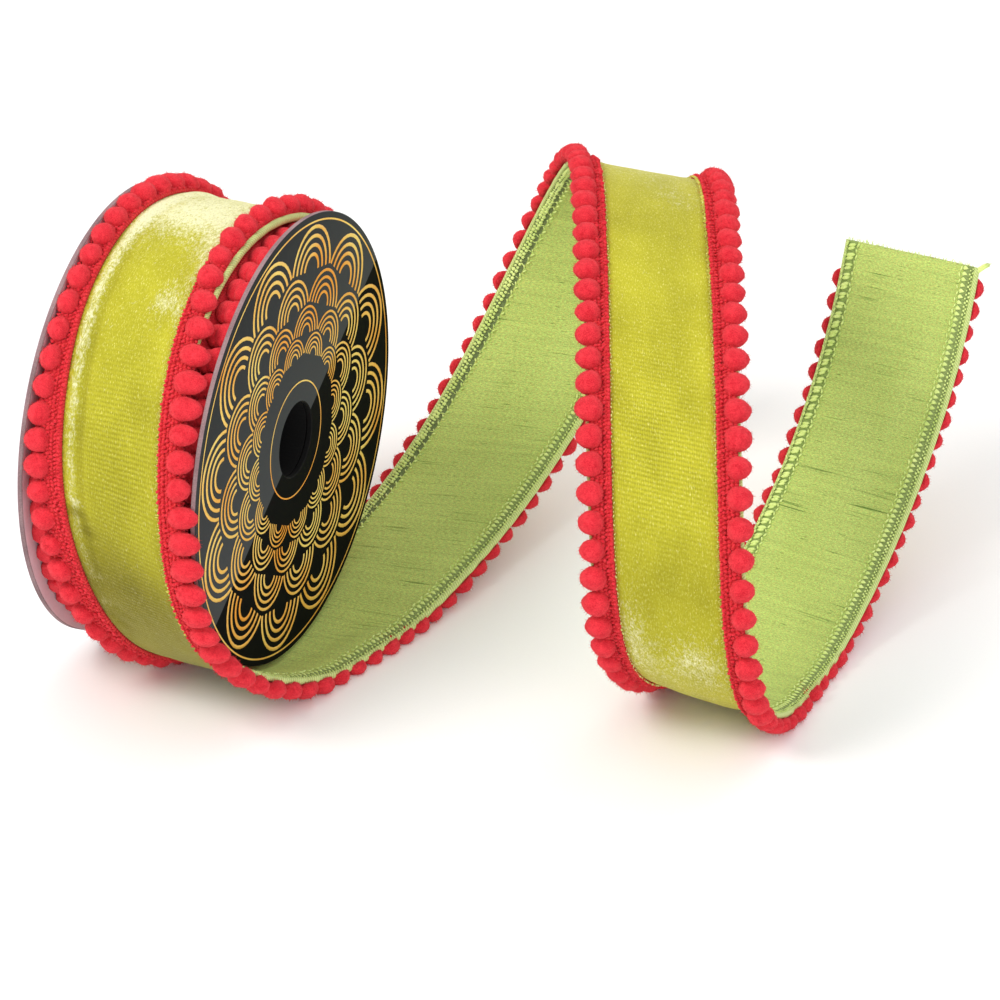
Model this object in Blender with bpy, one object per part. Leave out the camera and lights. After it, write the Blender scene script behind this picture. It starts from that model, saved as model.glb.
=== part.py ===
"""A card spool of velvet ribbon edged with pompom braid, its last turn pulled loose.

Everything is worked out in the spool's own frame, in millimetres: X along the spool's axis
towards the near flange, Y towards the back, Z up, origin at the spool's centre.  The spool
leans a little, because its near flange stands on the loose turn, so at the end each mesh is
tilted by that lean and set down with the middle of its footprint at the world's origin.
"""
import math

import bmesh
import bpy
import numpy as np
from mathutils import Matrix

MM = 0.001

# Spool: two card flanges on a card tube
FLANGE_RADIUS = 80.0
FLANGE_THICKNESS = 2.0
SPOOL_WIDTH = 66.6          # over both flanges
BORE_RADIUS = 13.45
CORE_WALL = 3.0
ROUND_SIDES = 60
SEAT_GAP = 0.3              # left between pieces that touch
FLANGE_INNER_FACE = SPOOL_WIDTH / 2 - FLANGE_THICKNESS

# Rest: far flange, loose turn and loose end stand on one level surface
LEAN = math.radians(3.4)
FLAT_SPOT_RADIUS = 79.8     # radius left where the far flange stands

# Ribbon: sizes across its width, and out from its middle surface to the velvet side
CLOTH_HALF_WIDTH = 24.8
VELVET_HALF_WIDTH = 17.5    # velvet that shows between the two braids
BELLY_HALF_WIDTH = 9.0
CLOTH_GAP = 0.15            # middle surface to either layer of cloth
CLOTH_OUT = 1.15            # middle surface to the outside of either layer
BRAID_LOW = CLOTH_OUT + SEAT_GAP
BRAID_HIGH = 2.9
BRAID_REST_GAP = 0.1        # braid above the surface, which the velvet reaches
BELLY = 1.75                # the velvet sags this far between the braids where it stands
BELLY_LENGTH = 60.0         # from the middle of a rest to where the sag has gone
POMPOM_PITCH = 9.6

# Wound turns under the ribbon's last full turn
TURN = 2.6                  # radius gained by one turn
WOUND_GAP = 0.5             # between the last turn and the turns below
WOUND_START_RADIUS = 73.5
START_ANGLE = -205.0        # from the top, positive towards the front
LEAVE_ANGLE = 60.0          # the ribbon starts to leave the roll
WOUND_ROWS = 19
WOUND_HALF_WIDTH = 25.0
SHOULDER_HALF_WIDTH = 30.5  # packed pompoms of the deeper turns
SHOULDER_DROP = 6.0
STEP_ANGLE = 1.0            # length of the step where the last turn starts

# How far the last turn wanders sideways on the roll: angle (degrees), x (mm)
WANDER = [
    (-205, 1.4),
    (-90, 1.2),
    (-30, -1.0),
    (0, -4.1),
    (15, -4.7),
    (45, -3.4),
    (60, -1.6),
]

# The loose length, a row every 60 mm: x, y, z of the ribbon's middle (mm), then the swing
# and the lean of its width out of the X axis (degrees)
LOOSE_ROWS = [
    (3.1, -79.0, 2.5, -3, -10),
    (13.8, -62.7, -52.9, -6, 0),
    (28.5, -13.1, -80.6, 2, -3),
    (43.3, 44.8, -77.6, 10, -2),
    (51.9, 102.9, -65.8, 15, -1),
    (60.9, 154.8, -38.3, 12, -3),
    (80.6, 173.8, 12.6, 11, -6),
    (106.9, 141.4, 53.0, 12, -6),
    (131.8, 87.9, 58.7, 15, -7),
    (154.3, 35.4, 41.2, 14, -7),
    (172.0, -4.8, 1.0, 11, -10),
    (178.8, -4.2, -56.6, 10, -12),
    (180.7, 44.1, -89.0, -4, -4),
    (183.5, 102.9, -81.0, -7, -3),
    (186.2, 156.5, -54.0, -4, -1),
    (187.7, 198.0, -10.9, -3, -1),
    (188.0, 207.0, 6.9, -3, -1),
]
REST_ROWS = (2, 12)         # rows of the loose length nearest to where it stands

# A pompom's sections: across, half its length along the braid, lowest and highest out
POMPOM_SECTIONS = [
    (27.0, 4.2, -1.3, 5.9),
    (29.4, 2.7, -0.2, 4.4),
]
POMPOM_ROOT_HALF = 2.8
BRAID_INNER = 17.8
BRAID_OUTER = 25.1
POMPOM_REST_GAP = 0.15
ROLL_CLEARANCE = 76.9       # loose pompoms keep this far from the spool's axis
COVERED_LENGTH = 70.0       # start of the last turn, which the loose turn passes over
COVERED_RADIUS = 80.3       # and where its pompoms stay under

# Braid of the turn below, where it shows: its pompoms' sections, out from the wound turns
TUCKED_SECTIONS = [
    (28.8, 4.2, -5.3, 1.6),
    (31.0, 2.7, -4.4, 0.8),
]
TUCKED_INNER = 25.7
TUCKED_OUTER = 26.6
TUCKED_LOW = -1.8
TUCKED_HIGH = -0.4
TUCKED_PITCH_ANGLE = 7.25
FAR_TUCKED_ANGLES = (90.0, 9)    # first angle, number of pompoms
NEAR_TUCKED_ANGLES = (-16.0, 8)


def surface_height(x):
    """Height of the level surface under the leaning spool, at x."""
    return -FLAT_SPOT_RADIUS - (x + SPOOL_WIDTH / 2) * math.tan(LEAN)


def natural_spline(knots, values):
    """Natural cubic curve through the values, as a function of its place between knots."""
    knots = np.asarray(knots, float)
    values = np.asarray(values, float)
    step = np.diff(knots)
    slope = np.diff(values, axis=0) / step[:, None]
    system = np.eye(len(knots))
    bend = np.zeros_like(values)
    for i in range(1, len(knots) - 1):
        system[i, i - 1:i + 2] = (step[i - 1], 2 * (step[i - 1] + step[i]), step[i])
        bend[i] = 6 * (slope[i] - slope[i - 1])
    bend = np.linalg.solve(system, bend)

    def at(place):
        i = int(np.clip(np.searchsorted(knots, place) - 1, 0, len(step) - 1))
        after = (place - knots[i]) / step[i]
        before = 1 - after
        straight = before * values[i] + after * values[i + 1]
        curved = (before**3 - before) * bend[i] + (after**3 - after) * bend[i + 1]
        return straight + curved * step[i]**2 / 6

    return at


def wound_radius(angle):
    """Outside radius of the wound turns at an angle of the last turn."""
    turned = (angle - START_ANGLE) / 360
    return WOUND_START_RADIUS + TURN * turned


def on_roll(x, radius, angle):
    """Point on the roll: along its axis, out from it, and round from the top."""
    turn = math.radians(angle)
    return np.array([x, -radius * math.sin(turn), radius * math.cos(turn)])


def path_rows():
    """Rows x, y, z, swing, lean of the ribbon: the last wound turn, then the loose length."""
    angles, offsets = zip(*WANDER)
    wander = natural_spline(angles, [(x,) for x in offsets])
    rows = []
    for angle in np.linspace(START_ANGLE + 0.4, LEAVE_ANGLE, WOUND_ROWS):
        radius = wound_radius(angle) + WOUND_GAP + CLOTH_OUT
        rows.append((*on_roll(wander(angle)[0], radius, angle), 0, 0))
    return np.array(rows + LOOSE_ROWS, float)


class Ribbon:
    """The ribbon's middle surface: a curved centre line with straight lines across it."""

    def __init__(self):
        rows = path_rows()
        chords = np.linalg.norm(np.diff(rows[:, :3], axis=0), axis=1)
        knots = np.concatenate([[0], np.cumsum(chords)])
        self.curve = natural_spline(knots, rows)
        fine = np.arange(0, knots[-1], 1.0)
        fine = np.append(fine, knots[-1])
        points = np.array([self.curve(place)[:3] for place in fine])
        steps = np.linalg.norm(np.diff(points, axis=0), axis=1)
        self.fine = fine
        self.lengths = np.concatenate([[0], np.cumsum(steps)])
        self.length = self.lengths[-1]
        first_loose = len(rows) - len(LOOSE_ROWS)
        rests = [knots[first_loose + row] for row in REST_ROWS]
        self.rests = np.interp(rests, self.fine, self.lengths)
        self.loose_from = self.lengths[-1] - (knots[-1] - knots[first_loose])
        self.count = round(self.length / POMPOM_PITCH)
        self.pitch = self.length / self.count

    def frame(self, along):
        """Centre, tangent, and the direction of the line across, at a length along."""
        place = np.interp(along, self.lengths, self.fine)
        row = self.curve(place)
        tangent = self.curve(place + 0.5)[:3] - self.curve(place - 0.5)[:3]
        tangent /= np.linalg.norm(tangent)
        swing, lean = np.radians(row[3:])
        across = np.array([math.cos(lean) * math.cos(swing),
                           math.cos(lean) * math.sin(swing),
                           math.sin(lean)])
        return row[:3], tangent, across

    def belly(self, along, across):
        """How far the cloth sags between the braids near the two places where it stands."""
        reach = min(abs(along - rest) for rest in self.rests)
        if reach >= BELLY_LENGTH:
            return 0.0
        fade = 0.5 + 0.5 * math.cos(math.pi * reach / BELLY_LENGTH)
        side = np.interp(abs(across), (BELLY_HALF_WIDTH, VELVET_HALF_WIDTH), (1, 0))
        return BELLY * fade * side

    def point(self, along, across, out):
        """Point of the ribbon, held up where it would sink into the surface below."""
        centre, tangent, line = self.frame(along)
        skew = float(line @ tangent)
        normal = np.cross(tangent, line)
        normal /= np.linalg.norm(normal)
        place = centre + across * line / math.sqrt(1 - skew * skew)
        place += self.belly(along, across) * normal
        bounds = (BELLY_HALF_WIDTH, VELVET_HALF_WIDTH)
        thickness = np.interp(abs(across), bounds, (CLOTH_OUT, BRAID_HIGH + BRAID_REST_GAP))
        lowest = place + thickness * normal
        lift = max(0.0, surface_height(lowest[0]) - lowest[2])
        place += out * normal
        place[2] += lift
        return place


def make_object(name, points, faces, material):
    """One closed solid from points in the spool's frame, with its quads split one way."""
    mesh = bpy.data.meshes.new(name)
    mesh.from_pydata([tuple(point) for point in points], [], faces)
    shape = bmesh.new()
    shape.from_mesh(mesh)
    bmesh.ops.triangulate(shape, faces=shape.faces, quad_method="FIXED", ngon_method="EAR_CLIP")
    bmesh.ops.recalc_face_normals(shape, faces=shape.faces)
    shape.to_mesh(mesh)
    shape.free()
    mesh.materials.append(material)
    mesh.shade_smooth()
    mesh.set_sharp_from_angle(angle=math.radians(40))
    solid = bpy.data.objects.new(name, mesh)
    bpy.context.collection.objects.link(solid)
    return solid


def ring_faces(first, second, size):
    """Quads between two rings of points, each given by the number of its first point."""
    faces = []
    for i in range(size):
        after = (i + 1) % size
        faces.append((first + i, first + after, second + after, second + i))
    return faces


def turned_solid(name, profile, material):
    """A ring turned about the spool's axis from a closed profile of x, radius."""
    points = []
    faces = []
    size = len(profile)
    for side in range(ROUND_SIDES):
        angle = 360 * (side + 0.5) / ROUND_SIDES
        for x, radius in profile:
            points.append(on_roll(x, radius, angle))
        after = (side + 1) % ROUND_SIDES
        faces += ring_faces(side * size, after * size, size)
    for point in points:
        point[2] = max(point[2], surface_height(point[0]))
    return make_object(name, points, faces, material)


def flange(name, side, material):
    """A card disc with a bore, its far one flattened a little where it stands."""
    low, high = sorted((side * FLANGE_INNER_FACE, side * SPOOL_WIDTH / 2))
    profile = [(low, BORE_RADIUS), (low, FLANGE_RADIUS), (high, FLANGE_RADIUS), (high, BORE_RADIUS)]
    return turned_solid(name, profile, material)


def core_tube(material):
    """The tube between the flanges."""
    half = FLANGE_INNER_FACE - SEAT_GAP
    outer = BORE_RADIUS + CORE_WALL
    profile = [(-half, BORE_RADIUS), (-half, outer), (half, outer), (half, BORE_RADIUS)]
    return turned_solid("core_tube", profile, material)


def wound_ribbon(material):
    """The wound turns: one spiral body, stepped where the last turn starts."""
    hole = BORE_RADIUS + CORE_WALL + SEAT_GAP
    points = []
    faces = []
    size = 8
    for side in range(ROUND_SIDES):
        angle = START_ANGLE + (360 - STEP_ANGLE) * side / (ROUND_SIDES - 1)
        radius = wound_radius(angle)
        shoulder = radius - SHOULDER_DROP
        profile = [
            (-SHOULDER_HALF_WIDTH, hole),
            (-SHOULDER_HALF_WIDTH, shoulder),
            (-WOUND_HALF_WIDTH, shoulder),
            (-WOUND_HALF_WIDTH, radius),
            (WOUND_HALF_WIDTH, radius),
            (WOUND_HALF_WIDTH, shoulder),
            (SHOULDER_HALF_WIDTH, shoulder),
            (SHOULDER_HALF_WIDTH, hole),
        ]
        points += [on_roll(x, r, angle) for x, r in profile]
        after = (side + 1) % ROUND_SIDES
        faces += ring_faces(side * size, after * size, size)
    return make_object("wound_ribbon", points, faces, material)


def sheet(name, ribbon, low, high, material):
    """One layer of the ribbon's cloth, its whole length, between two heights."""
    columns = [-CLOTH_HALF_WIDTH, -VELVET_HALF_WIDTH, -BELLY_HALF_WIDTH,
               BELLY_HALF_WIDTH, VELVET_HALF_WIDTH, CLOTH_HALF_WIDTH]
    points = []
    faces = []
    size = 2 * len(columns)
    for row in range(ribbon.count + 1):
        along = row * ribbon.pitch
        points += [ribbon.point(along, across, high) for across in columns]
        points += [ribbon.point(along, across, low) for across in reversed(columns)]
        if row:
            quads = ring_faces(row * size, row * size - size, size)
            faces += quads[:len(columns)]
            faces += [quad[1:] + quad[:1] for quad in quads[len(columns):]]
    faces.append(tuple(range(size)))
    last = ribbon.count * size
    faces.append(tuple(reversed(range(last, last + size))))
    return make_object(name, points, faces, material)


def give_way(rings, root, room):
    """A pompom's points, where flanges, roll and surface leave it less room."""
    points = np.concatenate(rings)
    press = FLANGE_INNER_FACE - SEAT_GAP
    reach = np.abs(points[:, 0]).max()
    radius = math.hypot(root[1], root[2])
    between = abs(root[0]) < press and radius < FLANGE_RADIUS + BRAID_HIGH
    if between and reach > press and (root[0] < 0 or reach < press + 1.0):
        squeeze = (press - abs(root[0])) / (reach - abs(root[0]))
        points[:, 0] = root[0] + (points[:, 0] - root[0]) * squeeze
    elif reach > press and root[0] < press + 5.0:
        for point in points:
            radius = math.hypot(point[1], point[2])
            point[1:] *= max(1.0, (FLANGE_RADIUS + 2 * SEAT_GAP) / radius)
    sunk = max(surface_height(x) + POMPOM_REST_GAP - z for x, _, z in points)
    points[:, 2] += max(0.0, sunk)
    for point in points:
        if abs(point[0]) < SPOOL_WIDTH / 2:
            radius = math.hypot(point[1], point[2])
            point[1:] *= np.clip(radius, *room) / radius
    return points


def braid(name, place, centres, half_pitch, edges, sections, room, material):
    """A flat braid with pompoms along its outer edge, one solid.

    place(along, across, out) gives a point, edges holds the braid's inner and outer edge and
    its low and high side, sections the pompom's from its root to its tip, and room(centre)
    the least and greatest distance of a pompom from the spool's axis.
    """
    inner, outer, low, high = edges
    points = []
    faces = []

    def add(along, across, below, above):
        points.append(place(along, across, below))
        points.append(place(along, across, above))
        return len(points) - 2

    gap = add(centres[0] - half_pitch, inner, low, high)
    last_side = add(centres[0] - half_pitch, outer, low, high)
    faces.append((gap, last_side, last_side + 1, gap + 1))
    for centre in centres:
        left = add(centre - POMPOM_ROOT_HALF * half_pitch / (POMPOM_PITCH / 2), outer, low, high)
        right = add(centre + POMPOM_ROOT_HALF * half_pitch / (POMPOM_PITCH / 2), outer, low, high)
        next_gap = add(centre + half_pitch, inner, low, high)
        faces.append((last_side, left, left + 1, last_side + 1))
        for a, b, c in ((gap, left, last_side), (gap, right, left), (gap, next_gap, right)):
            faces.append((a, b, c))
            faces.append((c + 1, b + 1, a + 1))
        faces.append((gap, gap + 1, next_gap + 1, next_gap))
        rings = []
        for across, half, below, above in sections:
            half = half * half_pitch / (POMPOM_PITCH / 2)
            rings.append(np.array([
                place(centre - half, across, below),
                place(centre - half, across, above),
                place(centre + half, across, above),
                place(centre + half, across, below),
            ]))
        root = (points[left] + points[right + 1]) / 2
        base = len(points)
        points += list(give_way(rings, root, room(centre)))
        root_ring = (left, left + 1, right + 1, right)
        for i in range(4):
            after = (i + 1) % 4
            faces.append((root_ring[i], base + i, base + after, root_ring[after]))
            faces.append((base + i, base + 4 + i, base + 4 + after, base + after))
        faces.append(tuple(base + 4 + i for i in range(4)))
        gap = next_gap
        last_side = right
    end_side = add(centres[-1] + half_pitch, outer, low, high)
    faces.append((last_side, end_side, end_side + 1, last_side + 1))
    faces.append((gap, end_side, last_side))
    faces.append((last_side + 1, end_side + 1, gap + 1))
    faces.append((gap, gap + 1, end_side + 1, end_side))
    return make_object(name, points, faces, material)


def edge_braid(name, ribbon, side, material):
    """The braid on one edge of the ribbon's last turn and loose length."""
    centres = [(i + 0.5) * ribbon.pitch for i in range(ribbon.count)]

    def place(along, across, out):
        return ribbon.point(along, side * across, out)

    def room(along):
        least = ROLL_CLEARANCE if along > ribbon.loose_from else 0.0
        greatest = COVERED_RADIUS if along < COVERED_LENGTH else math.inf
        return least, greatest

    edges = (BRAID_INNER, BRAID_OUTER, BRAID_LOW, BRAID_HIGH)
    half = ribbon.pitch / 2
    return braid(name, place, centres, half, edges, POMPOM_SECTIONS, room, material)


def tucked_braid(name, side, angles, material):
    """The braid of the turn below, where it shows beside the cloth."""
    first, count = angles
    pitch = TUCKED_PITCH_ANGLE
    centres = [first + i * pitch for i in range(count)]

    def place(angle, across, out):
        return on_roll(side * across, wound_radius(angle) + out, angle)

    def room(angle):
        return wound_radius(angle) - SHOULDER_DROP + SEAT_GAP, math.inf

    edges = (TUCKED_INNER, TUCKED_OUTER, TUCKED_LOW, TUCKED_HIGH)
    return braid(name, place, centres, pitch / 2, edges, TUCKED_SECTIONS, room, material)


def linear(channel):
    """One sRGB channel, 0 to 255, as a linear value."""
    value = channel / 255
    return value / 12.92 if value <= 0.04045 else ((value + 0.055) / 1.055)**2.4


def material(name, colour, roughness):
    """A plain material from an sRGB colour."""
    made = bpy.data.materials.new(name)
    made.use_nodes = True
    shader = made.node_tree.nodes["Principled BSDF"]
    shader.inputs["Base Color"].default_value = (*(linear(c) for c in colour), 1)
    shader.inputs["Roughness"].default_value = roughness
    shader.inputs["Metallic"].default_value = 0.0
    return made


def set_down(solids):
    """Tilt the spool's frame to its rest, and put the middle of the footprint at the origin."""
    scale = Matrix.Scale(MM, 4)
    tilt = Matrix.Rotation(-LEAN, 4, "Y")
    for solid in solids:
        solid.data.transform(scale @ tilt)
    corners = np.array([vertex.co for solid in solids for vertex in solid.data.vertices])
    low = corners.min(axis=0)
    high = corners.max(axis=0)
    shift = Matrix.Translation((-(low[0] + high[0]) / 2, -(low[1] + high[1]) / 2, -low[2]))
    for solid in solids:
        solid.data.transform(shift)


def main():
    for old in list(bpy.data.objects):
        bpy.data.objects.remove(old)
    black_card = material("black gloss card", (24, 24, 28), 0.25)
    plain_card = material("plain card", (214, 200, 196), 0.6)
    velvet = material("lime velvet", (198, 197, 51), 0.9)
    slub = material("slub weave", (180, 198, 108), 0.85)
    wool = material("red felt braid", (225, 38, 48), 0.95)
    dark_wool = material("shaded red felt braid", (176, 28, 44), 0.95)
    ribbon = Ribbon()
    solids = [
        flange("flange_far", -1, plain_card),
        flange("flange_near", 1, black_card),
        core_tube(plain_card),
        wound_ribbon(velvet),
        sheet("velvet_face", ribbon, CLOTH_GAP, CLOTH_OUT, velvet),
        sheet("slub_backing", ribbon, -CLOTH_OUT, -CLOTH_GAP, slub),
        edge_braid("far_edge_braid", ribbon, -1, wool),
        edge_braid("near_edge_braid", ribbon, 1, wool),
        tucked_braid("inner_far_braid", -1, FAR_TUCKED_ANGLES, dark_wool),
        tucked_braid("inner_near_braid", 1, NEAR_TUCKED_ANGLES, dark_wool),
    ]
    set_down(solids)


main()
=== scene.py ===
import math

import bmesh
import bpy
import numpy as np
from mathutils import Matrix, Vector


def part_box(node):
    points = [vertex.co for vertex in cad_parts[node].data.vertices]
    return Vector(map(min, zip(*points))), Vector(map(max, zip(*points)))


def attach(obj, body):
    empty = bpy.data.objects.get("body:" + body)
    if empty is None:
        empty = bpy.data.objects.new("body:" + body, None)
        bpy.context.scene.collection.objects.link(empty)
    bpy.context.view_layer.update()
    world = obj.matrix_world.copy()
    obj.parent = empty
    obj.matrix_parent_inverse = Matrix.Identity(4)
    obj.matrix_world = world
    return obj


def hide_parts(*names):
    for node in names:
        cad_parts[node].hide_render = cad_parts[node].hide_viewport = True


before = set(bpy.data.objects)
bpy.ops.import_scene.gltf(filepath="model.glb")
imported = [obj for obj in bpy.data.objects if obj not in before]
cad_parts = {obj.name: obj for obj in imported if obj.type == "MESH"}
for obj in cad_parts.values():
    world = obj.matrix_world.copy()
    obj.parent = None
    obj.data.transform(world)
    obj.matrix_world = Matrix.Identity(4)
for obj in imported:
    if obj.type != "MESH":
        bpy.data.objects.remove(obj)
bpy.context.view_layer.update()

MM = 0.001
LEAN = math.radians(3.4)
CORE_LOW, CORE_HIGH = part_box("core_tube")
SPOOL_CENTRE = (np.array(CORE_LOW) + np.array(CORE_HIGH)) / 2

# Spool
FLANGE_RADIUS = 80.0
FLANGE_THICKNESS = 2.0
SPOOL_WIDTH = 66.6
BORE_RADIUS = 13.45
CORE_WALL = 3.0
SEAT_GAP = 0.3
FLANGE_INNER_FACE = SPOOL_WIDTH / 2 - FLANGE_THICKNESS
FLAT_SPOT_RADIUS = 79.8
FLANGE_SIDES = 240
EDGE_ROUNDING = 0.28
SHARP = 40                  # edges sharper than this angle aren't smoothed

# Ribbon, as the solids have it
CLOTH_HALF_WIDTH = 24.8
VELVET_HALF_WIDTH = 17.5
BELLY_HALF_WIDTH = 9.0
CLOTH_GAP = 0.15
CLOTH_OUT = 1.15
BRAID_HIGH = 2.9
BRAID_REST_GAP = 0.1
BELLY = 1.75
BELLY_LENGTH = 60.0
POMPOM_PITCH = 9.6
TURN = 2.6
WOUND_GAP = 0.5
WOUND_START_RADIUS = 73.5
START_ANGLE = -205.0
LEAVE_ANGLE = 60.0
WOUND_ROWS = 19
ROLL_CLEARANCE = 76.9
COVERED_LENGTH = 70.0
COVERED_RADIUS = 80.3
NEAR_ROLL = 95.0            # pompoms further from the axis miss the roll
ROW_STEP = 1.8              # between rows of points along the cloth
# How the last turn wanders along the axis: angle from the top, x
WANDER = [(-205, 1.4), (-90, 1.2), (-30, -1.0), (0, -4.1), (15, -4.7), (45, -3.4), (60, -1.6)]
# The loose length's centre line, x, y and z, and how its width swings round and leans (degrees)
LOOSE_ROWS = [
    (3.1, -79.0, 2.5, -3, -10),
    (13.8, -62.7, -52.9, -6, 0),
    (28.5, -13.1, -80.6, 2, -3),
    (43.3, 44.8, -77.6, 10, -2),
    (51.9, 102.9, -65.8, 15, -1),
    (60.9, 154.8, -38.3, 12, -3),
    (80.6, 173.8, 12.6, 11, -6),
    (106.9, 141.4, 53.0, 12, -6),
    (131.8, 87.9, 58.7, 15, -7),
    (154.3, 35.4, 41.2, 14, -7),
    (172.0, -4.8, 1.0, 11, -10),
    (178.8, -4.2, -56.6, 10, -12),
    (180.7, 44.1, -89.0, -4, -4),
    (183.5, 102.9, -81.0, -7, -3),
    (186.2, 156.5, -54.0, -4, -1),
    (187.7, 198.0, -10.9, -3, -1),
    (188.0, 207.0, 6.9, -3, -1),
]
REST_ROWS = (2, 12)         # the rows that stand on the surface


def surface_height(x):
    """Height of the level surface under the leaning spool, at x."""
    return -FLAT_SPOT_RADIUS - (x + SPOOL_WIDTH / 2) * math.tan(LEAN)


def ease(value, start, end):
    """0 at start and before, 1 at end and past it, with a smooth climb between."""
    place = np.clip((value - start) / (end - start), 0, 1)
    return place * place * (3 - 2 * place)


def within(value, start, full, end, gone):
    """0 before start, 1 from full to end and 0 past gone, with smooth climbs between."""
    return ease(value, start, full) - ease(value, end, gone)


def hump(value, middle, reach):
    """1 at the middle, falling smoothly to nothing a few reaches away."""
    return np.exp(-((value - middle) / reach)**2)


def summed(spots, along, across):
    """The sum of soft spots at places along and across."""
    total = 0.0 * along + 0.0 * across
    for middle, side, length, width, strength in spots:
        total = total + strength * hump(along, middle, length) * hump(across, side, width)
    return total


def in_axes(points, middles, axes):
    """Pieces' points, a row a piece, as offsets along each piece's own three axes."""
    return np.einsum("npc,nac->npa", points - middles[:, None], axes)


def out_of_axes(offsets, middles, axes):
    """The points whose offsets in_axes() gives."""
    return middles[:, None] + np.einsum("npa,nac->npc", offsets, axes)


def natural_spline(knots, values):
    """Natural cubic curve through the values, as a function of places between the knots."""
    knots = np.asarray(knots, float)
    values = np.asarray(values, float)
    step = np.diff(knots)
    slope = np.diff(values, axis=0) / step[:, None]
    system = np.eye(len(knots))
    bend = np.zeros_like(values)
    for i in range(1, len(knots) - 1):
        system[i, i - 1:i + 2] = (step[i - 1], 2 * (step[i - 1] + step[i]), step[i])
        bend[i] = 6 * (slope[i] - slope[i - 1])
    bend = np.linalg.solve(system, bend)

    def at(places):
        i = np.clip(np.searchsorted(knots, places) - 1, 0, len(step) - 1)
        after = ((places - knots[i]) / step[i])[:, None]
        before = 1 - after
        straight = before * values[i] + after * values[i + 1]
        curved = (before**3 - before) * bend[i] + (after**3 - after) * bend[i + 1]
        return straight + curved * (step[i]**2)[:, None] / 6

    return at


def wound_radius(angle):
    """Outside radius of the wound turns at an angle of the last turn."""
    return WOUND_START_RADIUS + TURN * (angle - START_ANGLE) / 360


def on_roll(x, radius, angle):
    """Points on the roll: along its axis, out from it, and round from the top, in degrees."""
    x, radius, angle = np.broadcast_arrays(x, radius, angle)
    turn = np.radians(angle)
    return np.stack([x, -radius * np.sin(turn), radius * np.cos(turn)], axis=-1)


def roll_axes(angles):
    """Directions out of the roll, onwards round it and along its axis, at these angles."""
    outward = on_roll(0.0, 1.0, angles)
    axis = np.broadcast_to([1.0, 0.0, 0.0], outward.shape)
    return outward, np.cross(outward, axis), axis


class Ribbon:
    """The ribbon's middle surface: a curved centre line with straight lines across it."""

    def __init__(self):
        angles, offsets = zip(*WANDER)
        wander = natural_spline(angles, [(x,) for x in offsets])
        round_angles = np.linspace(START_ANGLE + 0.4, LEAVE_ANGLE, WOUND_ROWS)
        radii = wound_radius(round_angles) + WOUND_GAP + CLOTH_OUT
        wound = on_roll(wander(round_angles)[:, 0], radii, round_angles)
        wound = np.hstack([wound, np.zeros((WOUND_ROWS, 2))])
        rows = np.vstack([wound, np.array(LOOSE_ROWS, float)])
        chords = np.linalg.norm(np.diff(rows[:, :3], axis=0), axis=1)
        knots = np.concatenate([[0], np.cumsum(chords)])
        self.curve = natural_spline(knots, rows)
        self.fine = np.append(np.arange(0, knots[-1], 1.0), knots[-1])
        points = self.curve(self.fine)[:, :3]
        steps = np.linalg.norm(np.diff(points, axis=0), axis=1)
        self.lengths = np.concatenate([[0], np.cumsum(steps)])
        self.length = self.lengths[-1]
        first_loose = len(rows) - len(LOOSE_ROWS)
        rests = [knots[first_loose + row] for row in REST_ROWS]
        self.rests = np.interp(rests, self.fine, self.lengths)
        self.loose_from = self.lengths[-1] - (knots[-1] - knots[first_loose])
        self.count = round(self.length / POMPOM_PITCH)
        self.pitch = self.length / self.count

    def frames(self, along):
        """Centres, tangents, directions across and normals at lengths along."""
        places = np.interp(along, self.lengths, self.fine)
        rows = self.curve(places)
        tangent = self.curve(places + 0.5)[:, :3] - self.curve(places - 0.5)[:, :3]
        tangent /= np.linalg.norm(tangent, axis=1)[:, None]
        swing, lean = np.radians(rows[:, 3]), np.radians(rows[:, 4])
        line = np.stack([np.cos(lean) * np.cos(swing), np.cos(lean) * np.sin(swing),
                         np.sin(lean)], axis=1)
        normal = np.cross(tangent, line)
        normal /= np.linalg.norm(normal, axis=1)[:, None]
        return rows[:, :3], tangent, line, normal

    def resting(self, along):
        """1 where the ribbon stands, falling to 0 where its belly has gone."""
        reach = np.minimum(*[np.abs(along - rest) for rest in self.rests])
        return np.where(reach < BELLY_LENGTH, 0.5 + 0.5 * np.cos(np.pi * reach / BELLY_LENGTH), 0)

    def points(self, along, across, out):
        """Points of the ribbon, held up where they would sink into the surface below."""
        along, across, out = np.broadcast_arrays(along, across, out)
        shape = along.shape
        along, across, out = along.ravel(), across.ravel(), out.ravel()
        centre, tangent, line, normal = self.frames(along)
        skew = np.sum(line * tangent, axis=1)
        place = centre + (across / np.sqrt(1 - skew**2))[:, None] * line
        side = 1 - ease(np.abs(across), BELLY_HALF_WIDTH - 3, VELVET_HALF_WIDTH + 1)
        place = place + (BELLY * self.resting(along) * side)[:, None] * normal
        bounds = (BELLY_HALF_WIDTH, VELVET_HALF_WIDTH)
        thickness = np.interp(np.abs(across), bounds, (CLOTH_OUT, BRAID_HIGH + BRAID_REST_GAP))
        lowest = place + thickness[:, None] * normal
        lift = np.maximum(0, surface_height(lowest[:, 0]) - lowest[:, 2])
        place = place + out[:, None] * normal
        place[:, 2] += lift
        return place.reshape(*shape, 3)


def set_down(points):
    """Points of the spool's frame, tilted to its rest and set down in the row's, in metres."""
    points = np.asarray(points, float).reshape(-1, 3)
    x = points[:, 0] * math.cos(LEAN) - points[:, 2] * math.sin(LEAN)
    z = points[:, 0] * math.sin(LEAN) + points[:, 2] * math.cos(LEAN)
    return np.stack([x, points[:, 1], z], axis=1) * MM + SPOOL_CENTRE


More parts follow.
